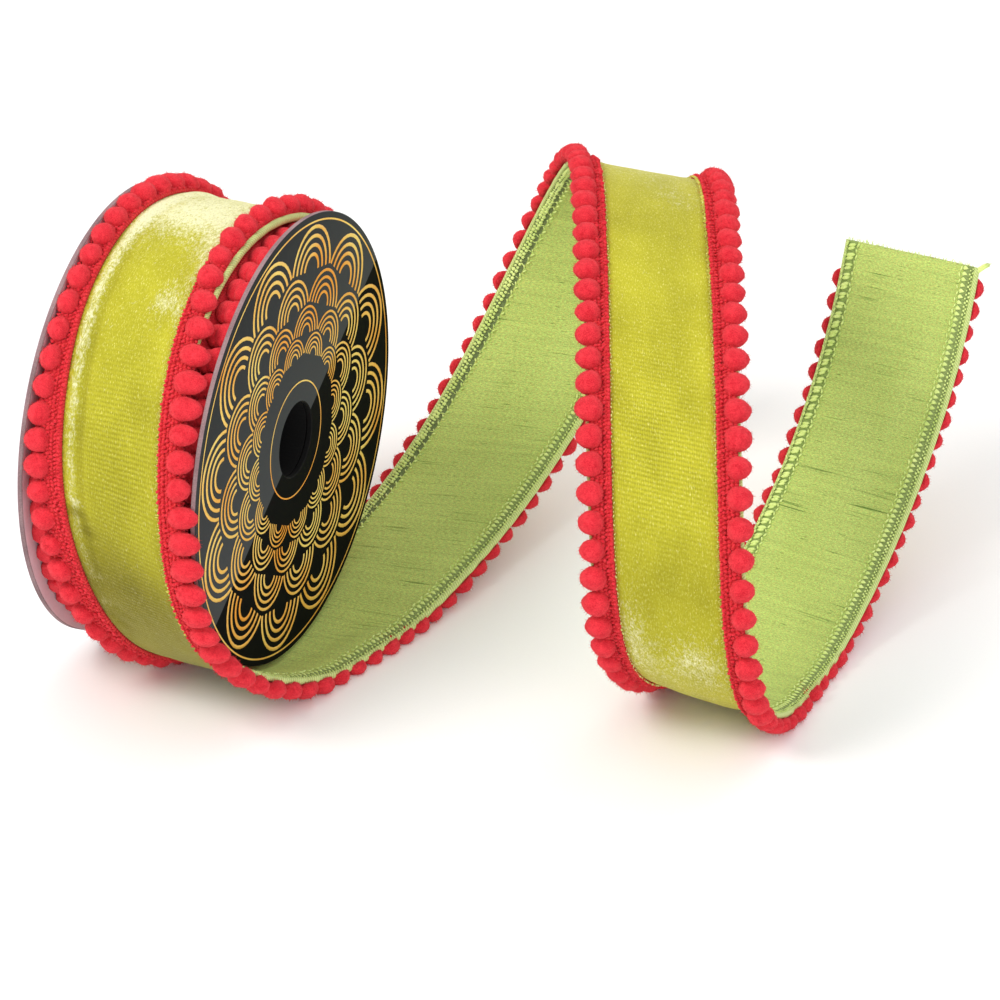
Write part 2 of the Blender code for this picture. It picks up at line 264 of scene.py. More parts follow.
def taken_up(points):
    """Points of the row's frame, in metres, taken back to the spool's."""
    points = (points - SPOOL_CENTRE) / MM
    x = points[:, 0] * math.cos(LEAN) + points[:, 2] * math.sin(LEAN)
    z = -points[:, 0] * math.sin(LEAN) + points[:, 2] * math.cos(LEAN)
    return np.stack([x, points[:, 1], z], axis=1)


def ribbon_axes(ribbon, along):
    """For each length along: the directions across, along and out of the ribbon."""
    _, tangent, line, normal = ribbon.frames(along)
    across = np.cross(normal, tangent) * -1
    across *= np.sign(np.sum(across * line, axis=1))[:, None]
    return np.stack([across, np.cross(normal, across), normal], axis=1)


# ---- nodes and materials

NOISE = "ShaderNodeTexNoise"
RANGE = "ShaderNodeMapRange"
VECTOR = "ShaderNodeVectorMath"


def feed(tree, socket, source):
    """Feed a socket from another one, from a node's first live output, or with a value."""
    if isinstance(source, bpy.types.Node):
        source = next(output for output in source.outputs if output.enabled)
    if isinstance(source, bpy.types.NodeSocket):
        tree.links.new(source, socket)
    else:
        socket.default_value = source


def node(tree, kind, *first, **named):
    """Add a node, feed its first inputs in order, but for those that are None, and then the ones
    that a name with a capital means.  Other names are settings.  A kind that doesn't have Node
    in it is the operation of a Math node."""
    made = tree.nodes.new(kind if "Node" in kind else "ShaderNodeMath")
    if "Node" not in kind:
        made.operation = kind
    for name, value in named.items():
        if name[0].islower():
            setattr(made, name, value)
    for socket, source in zip(made.inputs, first):
        if source is not None:
            feed(tree, socket, source)
    for name, source in named.items():
        if name[0].isupper():
            feed(tree, made.inputs[name.replace("_", " ")], source)
    return made


def colour(code):
    """A linear colour from an sRGB hex code."""
    channels = [int(code[i:i + 2], 16) / 255 for i in (1, 3, 5)]
    return (*[c / 12.92 if c <= 0.04045 else ((c + 0.055) / 1.055)**2.4 for c in channels], 1)


def new_material(name, roughness, specular=0.5, sheen=(0.0, 0.5, "#FFFFFF"), **others):
    """A material and its tree, with constants on its shader's own sockets; sheen is its weight,
    roughness and tint."""
    made = bpy.data.materials.new(name)
    made.use_nodes = True
    shader = made.node_tree.nodes["Principled BSDF"]
    sockets = {"Roughness": roughness, "Specular IOR Level": specular, "Sheen Weight": sheen[0],
               "Sheen Roughness": sheen[1], "Sheen Tint": colour(sheen[2]), **others}
    for socket, value in sockets.items():
        shader.inputs[socket].default_value = value
    return made, made.node_tree


def cloth_place(tree):
    """The cloth's own place in millimetres, then its parts along its width and its length."""
    place = node(tree, "ShaderNodeUVMap", uv_map="cloth")
    parts = node(tree, "ShaderNodeSeparateXYZ", place)
    return place, parts.outputs["X"], parts.outputs["Y"]


def patches(tree, place, scale, detail, **more):
    """Noise over the cloth, scaled by so much along its width and its length."""
    place = node(tree, "ShaderNodeMapping", place, Scale=(*scale, 1))
    return node(tree, NOISE, place, Scale=1.0, Detail=detail, **more)


def shade(tree, value, span, first, second, most=1.0, **settings):
    """From a first to a second colour, hex codes or nodes, while a value crosses its span; with
    no span the value is the second one's share."""
    if span:
        value = node(tree, RANGE, value, *span, None, most)
    made = node(tree, "ShaderNodeMix", value, data_type="RGBA", **settings)
    for socket, end in zip(made.inputs[6:8], (first, second)):
        feed(tree, socket, colour(end) if isinstance(end, str) else end)
    return made


def wave(tree, value, pitch, shape="SINE"):
    """A wave that comes again every pitch of a value."""
    turns = node(tree, "MULTIPLY", value, 2 * math.pi / pitch)
    return node(tree, shape, turns)


def dressed(made, tone, height=None, strength=0.0, depth=0.0):
    """The material with its colour, and its bump so many millimetres deep."""
    tree = made.node_tree
    sockets = tree.nodes["Principled BSDF"].inputs
    feed(tree, sockets["Base Color"], tone)
    if height:
        bump = node(tree, "ShaderNodeBump", Height=height, Strength=strength, Distance=depth * MM)
        feed(tree, sockets["Normal"], bump)
    return made


def velvet_material():
    """Crushed rayon velvet: a soft deep lime pile, pale where crushed, with painted highlights,
    painted glints and painted shade from its marks, over fine ribs of its ground weave."""
    made, tree = new_material("crushed lime velvet", 0.75, 0.2, (0.5, 0.3, "#F4F4B4"))
    place, across, along = cloth_place(tree)
    crush_and_highlight, ground, painted_shade = [node(tree, "ShaderNodeAttribute", attribute_name=name).outputs["Fac"]
                         for name in ("crush_and_highlight", "ground", "painted_shade")]
    # slow change of the pile's lean, in patches 17 mm wide and 29 mm long
    slow = patches(tree, place, (0.06, 0.035), 3.0)
    base = shade(tree, slow, (0.3, 0.7), "#A9A424", "#C0BB2F")
    # crushed streaks, 3 to 4 mm wide, where the crush_and_highlight mark is high
    crush = patches(tree, place, (0.34, 0.24), 7.0, Roughness=0.78, Distortion=0.9)
    # clumps of single fibres, and painted glints, made a millimetre long to show
    speck = patches(tree, place, (2.3, 0.85), 3.0, Roughness=0.75, Distortion=0.5)
    # crinkles about a millimetre wide break the crushed patches up
    crinkle = patches(tree, place, (1.0, 0.5), 4.0, Roughness=0.7, Distortion=1.5)
    # pale where the pile is crushed, and painted highlights, where the mark and the crinkles are
    # high
    raised = node(tree, "ADD", crush, crush_and_highlight)
    raised = node(tree, "MULTIPLY_ADD", crinkle, 2.0, raised)
    lit = shade(tree, raised, (1.8, 2.35), base, "#ECEBBE")
    # painted glints: pale specks over the pile
    bright = shade(tree, speck, (0.56, 0.74), lit, "#EFEEA2", most=0.58)
    # ribs of the ground weave, 1.6 mm apart, dotted every 0.75 mm
    ribs = wave(tree, node(tree, "MULTIPLY_ADD", slow, 1.3, along), 1.6)
    dots = wave(tree, across, 0.75)
    weave = node(tree, "MULTIPLY_ADD", dots, 0.5, ribs)
    broken = node(tree, RANGE, crush, 0.3, 0.6, 0.35, 1.0)
    shown = node(tree, "MULTIPLY", ground, broken)
    weave = node(tree, "MULTIPLY", weave, shown)
    fine = node(tree, "MULTIPLY_ADD", weave, 0.23, speck)
    tone = node(tree, RANGE, fine, 0.15, 0.85, 0.7, 1.3)
    full = node(tree, VECTOR, bright, tone, operation="MULTIPLY")
    # painted shade: the pile is darker and greyer where the painted_shade mark is high
    depth = shade(tree, painted_shade, None, "#FFFFFF", "#A8A37E")
    full = node(tree, VECTOR, full, depth, operation="MULTIPLY")
    height = node(tree, "MULTIPLY_ADD", crush, 1.8, fine)
    return dressed(made, full, height, 0.5, 0.45)


def slub_material():
    """Plain-woven polyester with slubs: a matt, fine-grained green crossed by darker thick
    threads, with painted shade on the ground under the stitches."""
    made, tree = new_material("green slub weave", 0.82, 0.25, (0.12, 0.5, "#E6F2B0"))
    place, across, along = cloth_place(tree)
    base = shade(tree, patches(tree, place, (0.06, 0.02), 2.0), None, "#B4C469", "#C4D27B")
    # warp and weft of two greens make a fine mottle
    shot = patches(tree, place, (1.1, 1.7), 2.0, Roughness=0.8)
    mottle = shade(tree, shot, (0.38, 0.62), "#FFF1EC", "#ECFFF6")
    base = shade(tree, 1.0, None, base, mottle, blend_type="MULTIPLY")
    # slubs: threads across the width, some 20 mm long and under half a millimetre thick
    slubs = patches(tree, place, (0.028, 1.15), 2.0, Roughness=0.5)
    where = patches(tree, place, (0.05, 0.08), 1.0)
    limit = node(tree, RANGE, where, 0.4, 0.7, 0.7, 0.55)
    over = node(tree, "SUBTRACT", slubs, limit)
    slub = node(tree, RANGE, over, 0.0, 0.15)
    # and short ones, 1 to 4 mm
    short = patches(tree, place, (0.22, 1.5), 2.0)
    short = node(tree, RANGE, short, 0.645, 0.77, None, 0.85)
    slub = node(tree, "MAXIMUM", slub, short)
    dark = shade(tree, slub, None, base, "#5F7E36")
    # faint streaks of every thread, 0.8 mm apart, and the grain between them
    threads = patches(tree, place, (0.9, 2.4), 2.0)
    grain = patches(tree, place, (2.6, 3.0), 2.0, Roughness=0.8)
    # threads beaten up unevenly leave faint bars across the width
    bars = patches(tree, place, (0.02, 0.4), 1.0)
    fine = node(tree, "MULTIPLY_ADD", grain, 1.5, threads)
    fine = node(tree, "MULTIPLY_ADD", bars, 0.28, fine)
    tone = node(tree, RANGE, fine, 1.04, 1.72, 0.62, 1.45)
    full = node(tree, VECTOR, dark, tone, operation="MULTIPLY")
    # painted shade on the ground under the stitches: darker green, deepest on the far edge before
    # LADDER_FROM, mottled by the threads
    far = shade(tree, along, (LADDER_FROM - 20, LADDER_FROM + 20), "#6C7A4E", "#8B9F58")
    stitch_shade = shade(tree, across, (-1.0, 1.0), far, "#8A9B5C")
    pits = node(tree, RANGE, threads, 0.35, 0.65, 0.75, 1.3)
    stitch_shade = node(tree, VECTOR, stitch_shade, pits, operation="MULTIPLY")
    edge = node(tree, "ABSOLUTE", across)
    ground_with_stitch_shade = shade(tree, edge, (20.7, 21.0), full, stitch_shade)
    height = node(tree, "MULTIPLY_ADD", slub, 0.6, fine)
    return dressed(made, ground_with_stitch_shade, height, 0.4, 0.25)


def felt_material():
    """Felted wool: short tangled fibres that scatter the light, so the red glows softly with
    no gloss and darkens in the hollows between them."""
    made, tree = new_material("red felted wool", 0.95, 0.15, (0.35, 0.5, "#FF8C8C"))
    place = node(tree, "ShaderNodeTexCoord").outputs["Object"]
    # matted locks 2.5 mm across and single fibres 0.36 mm across
    locks = node(tree, NOISE, place, Scale=400.0, Detail=3.0, Roughness=0.6, Distortion=0.6)
    fibres = node(tree, NOISE, place, Scale=2800.0, Detail=2.0, Roughness=0.8)
    both = node(tree, "MULTIPLY_ADD", locks, 0.55, fibres)
    tone = shade(tree, both, (0.52, 1.02), "#CC1027", "#FF4550")
    return dressed(made, tone, both, 0.75, 0.6)


def braid_material():
    """Knitted braid of brushed wool yarn: rows of small loops with a darker groove where the
    sewing draws it down."""
    made, tree = new_material("red knitted braid", 0.92, 0.15, (0.3, 0.5, "#FF7A70"))
    place, across, along = cloth_place(tree)
    wobble = node(tree, NOISE, place, Scale=0.6, Detail=2.0)
    lean = node(tree, "MULTIPLY_ADD", across, 0.7, along)
    rows = wave(tree, node(tree, "MULTIPLY_ADD", wobble, 0.9, lean), 1.25)
    loops = node(tree, "ADD", rows, wave(tree, across, 1.5, "COSINE"))
    fibres = node(tree, NOISE, place, Scale=2.2, Detail=3.0, Roughness=0.7)
    both = node(tree, "MULTIPLY_ADD", fibres, 3.0, loops)
    return dressed(made, shade(tree, both, (0.0, 3.2), "#CC1A2A", "#FF4A4C"), both, 0.7, 0.35)


def wrap_material():
    """Spun polyester thread wound round the edge: a faint silky twist, darker between its
    wraps, 1.1 mm apart."""
    made, tree = new_material("pale lime edge thread", 0.6, 0.35, (0.2, 0.4, "#F4F8C8"))
    place, across, along = cloth_place(tree)
    wraps = wave(tree, node(tree, "MULTIPLY_ADD", across, 0.8, along), 1.1)
    fibres = node(tree, NOISE, place, Scale=1.6, Detail=2.0)
    both = node(tree, "MULTIPLY_ADD", fibres, 2.0, wraps)
    return dressed(made, shade(tree, both, (0.0, 2.2), "#BDD17B", "#E2EE9F"), both, 0.6, 0.25)


def laminate_material():
    """Black card laminated with clear film, with only a faint shine and a painted reflection:
    charcoal above a slanted line, darker further from it, and black below it."""
    made, tree = new_material("laminated black card", 0.4, 0.02, IOR=1.25)
    place = node(tree, "ShaderNodeTexCoord").outputs["Object"]
    waves = node(tree, NOISE, place, Scale=28.0, Detail=2.0)
    # the slanted line passes just under the bore
    slope = 0.553
    start = (SPOOL_WIDTH / 2 * math.sin(LEAN) - 1.15) * MM
    start += SPOOL_CENTRE[2] - slope * SPOOL_CENTRE[1]
    over = node(tree, VECTOR, place, (0.0, -slope, 1.0), operation="DOT_PRODUCT")
    # painted reflection of a soft light: charcoal above the line, fading over 90 mm
    painted_reflection = shade(tree, over, (start, start + 90 * MM), "#474A4B", "#323435")
    black_with_reflection = shade(tree, over, (start - 0.2 * MM, start + 0.2 * MM), "#0F1010", painted_reflection)
    return dressed(made, black_with_reflection, waves, 0.1, 0.4)


def fibrous_material(name, light, dark, grain, sheen=0.0):
    """Uncoated pulp board, matt with short fibres pressed into it, or a spun thread, which
    has a soft sheen as well."""
    made, tree = new_material(name, 0.85, 0.25, (sheen, 0.4, "#FFFFFF"))
    place = node(tree, "ShaderNodeTexCoord").outputs["Object"]
    fibres = node(tree, NOISE, place, Scale=1 / (grain * MM), Detail=4.0, Roughness=0.7)
    cloudy = node(tree, NOISE, place, Scale=60.0, Detail=2.0)
    both = node(tree, "ADD", fibres, cloudy)
    return dressed(made, shade(tree, both, (0.7, 1.3), dark, light), both, 0.3, 0.2)


def foil_material():
    """Hot-stamped gold foil: thin bright metal that takes a warm yellow from the light."""
    made, tree = new_material("gold hot foil", 0.45, Metallic=0.35)
    place = node(tree, "ShaderNodeTexCoord").outputs["Object"]
    wear = node(tree, NOISE, place, Scale=35.0, Detail=3.0)
    return dressed(made, shade(tree, wear, (0.35, 0.65), "#F7A52C", "#FFE07A"))


def floor_material():
    """A plain pale studio sweep with a very fine tooth."""
    made, tree = new_material("pale studio paper", 0.9, 0.1)
    place = node(tree, "ShaderNodeTexCoord").outputs["Object"]
    tooth = node(tree, NOISE, place, Scale=900.0, Detail=2.0)
    return dressed(made, shade(tree, tooth, None, "#FAFAFA", "#FDFDFD"))


# ---- meshes

def placed(name, data):
    """A new object of the scene, unturned at the origin."""
    made = bpy.data.objects.new(name, data)
    bpy.context.collection.objects.link(made)
    return made


def ring_quads(rows, size, closed=False):
    """Quads of a skin through rows of rings; closed joins the last row to the first."""
    first = np.arange(rows if closed else rows - 1)[:, None] * size
    after = (first + size) % (rows * size)
    k = np.arange(size)[None, :]
    k_after = (k + 1) % size
    quads = np.stack([first + k, first + k_after, after + k_after, after + k], axis=-1)
    return quads.reshape(-1, 4)


def mark_points(mesh, name, kind, values):
    """Give a mesh's points a named mark: a number, or a vector, each."""
    layer = mesh.attributes.new(name, kind, "POINT")
    layer.data.foreach_set("value" if kind == "FLOAT" else "vector",
                           np.asarray(values, np.float32).ravel())


def new_piece(name, points, faces, materials, uv=None, marks=None, slots=None, sharp=None):
    """A closed piece from points in the spool's frame, with its faces pointing outwards."""
    mesh = bpy.data.meshes.new(name)
    mesh.from_pydata(set_down(points).tolist(), [], [tuple(face) for face in faces])
    for material in materials:
        mesh.materials.append(material)
    if slots is not None:
        mesh.polygons.foreach_set("material_index", np.asarray(slots, np.int32))
    shape = bmesh.new()
    shape.from_mesh(mesh)
    bmesh.ops.recalc_face_normals(shape, faces=shape.faces)
    shape.to_mesh(mesh)
    shape.free()
    if uv is not None:
        corners = np.empty(len(mesh.loops), np.int32)
        mesh.loops.foreach_get("vertex_index", corners)
        layer = mesh.uv_layers.new(name="cloth")
        layer.data.foreach_set("uv", np.asarray(uv, np.float32)[corners].ravel())
    for mark, values in (marks or {}).items():
        mark_points(mesh, mark, "FLOAT", values)
    mesh.shade_smooth()
    if sharp is not None:
        mesh.set_sharp_from_angle(angle=math.radians(sharp))
    return placed(name, mesh)


def belongs(piece, slot, *nodes):
    """The piece rides on the row's only body and stands for these nodes; the slot is not used."""
    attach(piece, "root")
    if nodes:
        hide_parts(*nodes)
    return piece


def skin(name, ribbon, section, material, marks=None, fray=0.0, step=ROW_STEP, short=0.0):
    """A closed strip along the ribbon, a row of points every step, that ends short of its cut;
    section(along) gives the rows' across and out.  Its end is uneven by up to fray."""
    end = ribbon.length - short
    along = np.linspace(0, end, round(end / step) + 1)
    across, out = np.broadcast_arrays(*section(along[:, None]))
    ragged = np.sin(2.3 * across) * np.sin(5.1 * across + 1) + 0.4 * np.sin(0.35 * across)
    cut = ease(along, ribbon.length - 2, ribbon.length)[:, None]
    points = ribbon.points(along[:, None] + fray * cut * (ragged - 1) / 2, across, out)
    rows, size = across.shape
    faces = ring_quads(rows, size).tolist()
    faces.append(tuple(range(size)))
    faces.append(tuple(range(rows * size - 1, (rows - 1) * size - 1, -1)))
    uv = np.stack([across, np.broadcast_to(along[:, None], across.shape)], axis=-1)
    values = {mark: summed(spots, along[:, None], across) for mark, spots in (marks or {}).items()}
    return new_piece(name, points, faces, [material], uv=uv.reshape(-1, 2), marks=values)


# ---- what repeats

FLOOR_GAP = 0.02            # nothing grown comes nearer than this to the surface below
FIBRE_THICKNESS = 0.06
UNEVEN = {"Change": "Float", "Sway": "Vector", "Seed": "Int", "Material": "Material"}


def new_tree(name, inputs):
    """A geometry tree with a mesh input, these named inputs, and a mesh output."""
    tree = bpy.data.node_groups.new(name, "GeometryNodeTree")
    for label, kind in {"Geometry": "Geometry", **inputs}.items():
        tree.interface.new_socket(label, in_out="INPUT", socket_type="NodeSocket" + kind)
    tree.interface.new_socket("Geometry", in_out="OUTPUT", socket_type="NodeSocketGeometry")
    return tree, node(tree, "NodeGroupInput").outputs


def carried_turn(tree):
    """The turn that each point carries."""
    turn = node(tree, "GeometryNodeInputNamedAttribute", Name="turn", data_type="FLOAT_VECTOR")
    return node(tree, "FunctionNodeEulerToRotation", turn)


def instances(tree, given, points, shape, turn, size):
    """The end of a tree: a shape on every point, made real, in the material given."""
    put = node(tree, "GeometryNodeInstanceOnPoints", Points=points, Instance=shape, Rotation=turn,
               Scale=size)
    whole = node(tree, "GeometryNodeRealizeInstances", put)
    skinned = node(tree, "GeometryNodeSetMaterial", Geometry=whole, Material=given["Material"])
    node(tree, "NodeGroupOutput", skinned)
    return tree


def uneven_instances(tree, given, points, shape):
    """The end of a tree whose shapes are each a little off in size and turn."""
    seed = given["Seed"]
    least = node(tree, VECTOR, given["Sway"], Scale=-1.0, operation="SCALE")
    sway = node(tree, "FunctionNodeRandomValue", least, given["Sway"], Seed=seed,
                data_type="FLOAT_VECTOR")
    sway = node(tree, "FunctionNodeEulerToRotation", sway)
    turn = node(tree, "FunctionNodeRotateRotation", carried_turn(tree), sway, rotation_space="LOCAL")
    smallest = node(tree, "SUBTRACT", 1.0, given["Change"])
    largest = node(tree, "ADD", 1.0, given["Change"])
    size = node(tree, "FunctionNodeRandomValue", None, None, smallest, largest, Seed=seed,
                data_type="FLOAT")
    return instances(tree, given, points, shape, turn, size)


def bead_tree():
    """A rounded bead on every point: pompoms, stitches and thread ends."""
    tree, given = new_tree("beads on points",
                           {"Size": "Vector", "Sides": "Int", "Rings": "Int", **UNEVEN})
    ball = node(tree, "GeometryNodeMeshUVSphere", Segments=given["Sides"], Rings=given["Rings"],
                Radius=1.0)
    shaped = node(tree, "GeometryNodeTransform", Geometry=ball, Scale=given["Size"])
    return uneven_instances(tree, given, given["Geometry"], shaped)


def fibre_tree():
    """Short tapered fibres standing out of a surface at all angles."""
    tree, given = new_tree("fibres on a surface",
                           {"Density": "Float", "Length": "Float", "Thickness": "Float", **UNEVEN})
    spots = node(tree, "GeometryNodeDistributePointsOnFaces", Mesh=given["Geometry"],
                 Density=given["Density"], Seed=given["Seed"])
    turn = node(tree, "FunctionNodeRotationToEuler", spots.outputs["Rotation"])
    marked = node(tree, "GeometryNodeStoreNamedAttribute", Geometry=spots, Name="turn", Value=turn,
                  data_type="FLOAT_VECTOR", domain="POINT")
    spike = node(tree, "GeometryNodeMeshCone", Vertices=3, Radius_Top=0.0,
                 Radius_Bottom=given["Thickness"], Depth=given["Length"], fill_type="NGON")
    return uneven_instances(tree, given, marked, spike)


def grown(tree, mesh, **values):
    """The plain mesh that a tree makes from a mesh, in the spool's frame."""
    seed = placed("seed", mesh)
    modifier = seed.modifiers.new("grow", "NODES")
    modifier.node_group = tree
    for item in tree.interface.items_tree:
        if item.in_out == "INPUT" and item.name in values:
            modifier[item.identifier] = values[item.name]
    view = bpy.context.evaluated_depsgraph_get()
    made = bpy.data.meshes.new_from_object(seed.evaluated_get(view))
    bpy.data.objects.remove(seed)
    return made


def coordinates(mesh):
    """A mesh's points as an array."""
    points = np.empty(len(mesh.vertices) * 3, np.float32)
    mesh.vertices.foreach_get("co", points)
    return points.reshape(-1, 3).astype(float)


def point_mesh(places, axes):
    """A mesh of points, each with the turn that takes X, Y, Z to its three axes."""
    mesh = bpy.data.meshes.new("points")
    mesh.from_pydata(np.asarray(places).reshape(-1, 3).tolist(), [], [])
    turns = [Matrix(rows).transposed().to_euler() for rows in axes.reshape(-1, 3, 3).tolist()]
    mark_points(mesh, "turn", "FLOAT_VECTOR", turns)
    return mesh


def beads(places, axes, size, sides, rings, material, seed, change=0.08, sway=(0.08, 0.08, 0.12)):
    """Mesh and coordinates, one row of points a bead, of beads on places."""
    mesh = grown(BEADS, point_mesh(places, axes), Size=tuple(map(float, size)), Sides=sides,
                 Rings=rings, Change=change, Sway=sway, Seed=seed, Material=material)
    return mesh, coordinates(mesh).reshape(len(places), -1, 3)


def finished(name, mesh, points):
    """The piece that a grown mesh becomes once its points have their last place."""
    points = points.reshape(-1, 3)
    points[:, 2] = np.maximum(points[:, 2], surface_height(points[:, 0]) + FLOOR_GAP)
    mesh.vertices.foreach_set("co", set_down(points).astype(np.float32).ravel())
    for layer in list(mesh.uv_layers):
        mesh.uv_layers.remove(layer)
    for mark in ("turn", "reach"):
        if mark in mesh.attributes:
            mesh.attributes.remove(mesh.attributes[mark])
    mesh.shade_smooth()
    mesh.update()
    mesh.name = name
    return placed(name, mesh)


def joined(name, *grown_rows):
    """One piece of several grown meshes with their points."""
    pieces = [finished(name, mesh, points) for mesh, points in grown_rows]
    if len(pieces) > 1:
        whole = bmesh.new()
        for piece in pieces:
            whole.from_mesh(piece.data)
        whole.to_mesh(pieces[0].data)
        whole.free()
        for piece in pieces[1:]:
            bpy.data.objects.remove(piece)
    return pieces[0]


def fuzz(name, piece, wool, density, length, seed):
    """Loose wool fibres on a piece, grown in millimetres on a copy of its mesh."""
    mesh = piece.data.copy()
    mesh.vertices.foreach_set("co", taken_up(coordinates(mesh)).astype(np.float32).ravel())
    mesh.update()
    made = grown(FIBRES, mesh, Density=density, Length=length, Thickness=FIBRE_THICKNESS,
                 Change=0.45, Sway=(0.75, 0.75, 3.1), Seed=seed, Material=wool)
    return finished(name, made, coordinates(made))


# ---- the spool

def turned_piece(name, profile, materials, slots):
    """A ring turned about the axis from a closed profile of x and radius."""
    x, radius = np.array(profile).T
    angles = 360 * (np.arange(FLANGE_SIDES) + 0.5) / FLANGE_SIDES
    points = on_roll(x[None, :], radius[None, :], angles[:, None])
    points[..., 2] = np.maximum(points[..., 2], surface_height(points[..., 0]))
    faces = ring_quads(FLANGE_SIDES, len(profile), closed=True)
    return new_piece(name, points, faces, materials, slots=np.tile(slots, FLANGE_SIDES), sharp=SHARP)


def flange(name, side, outside, edge, inside, bored):
    """A die-cut card disc with a bore: printed or plain outside, plain inside, raw edges."""
    inner = side * FLANGE_INNER_FACE
    outer = side * SPOOL_WIDTH / 2
    small = side * EDGE_ROUNDING
    bore, rim = BORE_RADIUS, FLANGE_RADIUS
    radii = [bore + EDGE_ROUNDING, (bore + rim) / 2, rim - EDGE_ROUNDING]
    profile = [(inner, radius) for radius in radii]
    profile += [(inner + small, rim), (outer - small, rim)]
    profile += [(outer, radius) for radius in reversed(radii)]
    profile += [(outer - small, bore), (inner + small, bore)]
    slots = [2, 2, 1, 1, 0, 0, 0, 3, 3, 3]
    return turned_piece(name, profile, [outside, edge, inside, bored], slots)


FAN_RINGS = [30.0, 37.8, 47.7, 60.2]    # radius of each ring of fans
FANS = 12                               # fans in a ring
FAN_OVERLAP = 1.03                      # a fan's reach over half its share of the ring
FAN_LINES = (0.95, 0.75, 0.55, 0.35)    # radius of each arc, shares of the fan's reach
FOIL = 0.04                             # thickness of the foil
FOIL_LIFT = 0.002                       # the gold rings' underside over the card
FAN_LINE = 0.08                         # width of an arc, a share of the fan's reach
GOLD_RINGS = {"gold_rim_line": (77.2, 0.6), "gold_inner_line": (20.6, 0.5)}     # radius, width


def fan_tree():
    """Nested arcs of flat foil on every point, a fan each."""
    tree, given = new_tree("foil fans", {"Line": "Float", "Foil": "Float", "Material": "Material"})
    line = node(tree, "GeometryNodeCurvePrimitiveQuadrilateral", Width=given["Line"],
                Height=given["Foil"])
    arcs = node(tree, "GeometryNodeJoinGeometry")
    for reach in FAN_LINES:
        arc = node(tree, "GeometryNodeCurveArc", Resolution=17, Radius=reach, Start_Angle=0.0,
                   Sweep_Angle=math.pi, mode="RADIUS")
        feed(tree, arcs.inputs[0], arc)
    # each line swells from thin ends to its crown
    place = node(tree, "GeometryNodeSplineParameter").outputs["Factor"]
    swell = wave(tree, place, 2)
    swell = node(tree, "MULTIPLY_ADD", swell, 0.75, 0.35)
    tapered = node(tree, "GeometryNodeSetCurveRadius", Curve=arcs, Radius=swell)
    solid = node(tree, "GeometryNodeCurveToMesh", Curve=tapered, Profile_Curve=line, Fill_Caps=True)
    size = node(tree, "GeometryNodeInputNamedAttribute", Name="reach", data_type="FLOAT_VECTOR")
    return instances(tree, given, given["Geometry"], solid, carried_turn(tree), size)


def gold_fans(foil):
    """Rings of fans on the printed face, growing outwards, each ring set between the last."""
    places, axes, reaches = [], [], []
    for ring, radius in enumerate(FAN_RINGS):
        angles = 360 * (np.arange(FANS) + 0.5 * (ring % 2)) / FANS
        places.append(on_roll(SPOOL_WIDTH / 2 + FOIL / 2, radius, angles))
        outward, onward, axis = roll_axes(angles)
        axes.append(np.stack([onward, outward, axis], axis=1))
        reach = math.pi * radius / FANS * FAN_OVERLAP
        reaches += [(reach, reach, 1.0)] * FANS
    mesh = point_mesh(np.concatenate(places), np.concatenate(axes))
    mark_points(mesh, "reach", "FLOAT_VECTOR", reaches)
    mesh = grown(fan_tree(), mesh, Line=FAN_LINE, Foil=FOIL, Material=foil)
    return finished("gold_fans", mesh, coordinates(mesh))


def gold_ring(name, radius, width, foil):
    """A thin ring of foil on the printed face."""
    low, high = SPOOL_WIDTH / 2 + FOIL_LIFT, SPOOL_WIDTH / 2 + FOIL
    profile = [(low, radius), (low, radius + width), (high, radius + width), (high, radius)]
    return turned_piece(name, profile, [foil], [0, 0, 0, 0])


# ---- the wound turns

WOUND_SIDES = 240
# The wound turns' closed section: place along the axis, depth under the turn's outside (none in
# the hole), and the slot of the face after it
WOUND_SECTION = [
    (-27.4, None, 2), (-27.4, 12.0, 2), (-24.9, 11.4, 2), (-24.9, 0.9, 2), (-24.3, 0.15, 3),
    (-21.0, 0.0, 3), (-17.6, 0.05, 3), (-17.4, 0.5, 0), (-9.0, 0.4, 0), (0.0, 0.45, 0),
    (9.0, 0.4, 0), (17.4, 0.5, 3), (17.6, 0.3, 3), (21.0, 2.2, 2), (24.3, 6.0, 2),
    (24.9, 7.0, 2), (24.9, 11.4, 2), (27.4, 12.0, 2), (27.4, None, 2),
]
BARE_MARKS = {"crush_and_highlight": 0.0, "painted_shade": 0.0, "ground": 0.3}       # what marks its velvet all over
# Pompoms of the turns below: depth under the wound turns, place along the axis, the least such
# place, number, seed
GROOVE_RINGS = [(2.2, 28.3, 25.3, 50, 11), (8.2, 27.8, 25.3, 46, 12), (3.3, 25.0, 21.5, 47, 13)]
GROOVE_TOP = 75.6           # the outer rings stay under the last turn
GROOVE_POMPOM = (4.0, 4.5, 3.7)


def wound_turns(velvet, edge_thread, felt, braid):
    """The turns under the last: a spiral drum with the ribbon's edges stacked at its sides."""
    angles = START_ANGLE + 359.0 * np.arange(WOUND_SIDES) / (WOUND_SIDES - 1)
    radius = wound_radius(angles)
    hole = BORE_RADIUS + CORE_WALL + SEAT_GAP
    xs, drops, slots = zip(*WOUND_SECTION)
    radii = np.stack([np.full_like(radius, hole) if drop is None else radius - drop
                      for drop in drops], axis=1)
    points = on_roll(np.array(xs)[None, :], radii, angles[:, None])
    faces = ring_quads(WOUND_SIDES, len(xs), closed=True)
    along = np.radians(angles)[:, None] * radius[:, None]
    uv = np.stack(np.broadcast_arrays(np.array(xs)[None, :], along), axis=-1).reshape(-1, 2)
    marks = {mark: np.full(len(uv), share) for mark, share in BARE_MARKS.items()}
    return new_piece("wound_turns", points, faces, [velvet, edge_thread, felt, braid], uv=uv,
                     marks=marks, slots=np.tile(slots, WOUND_SIDES), sharp=SHARP)


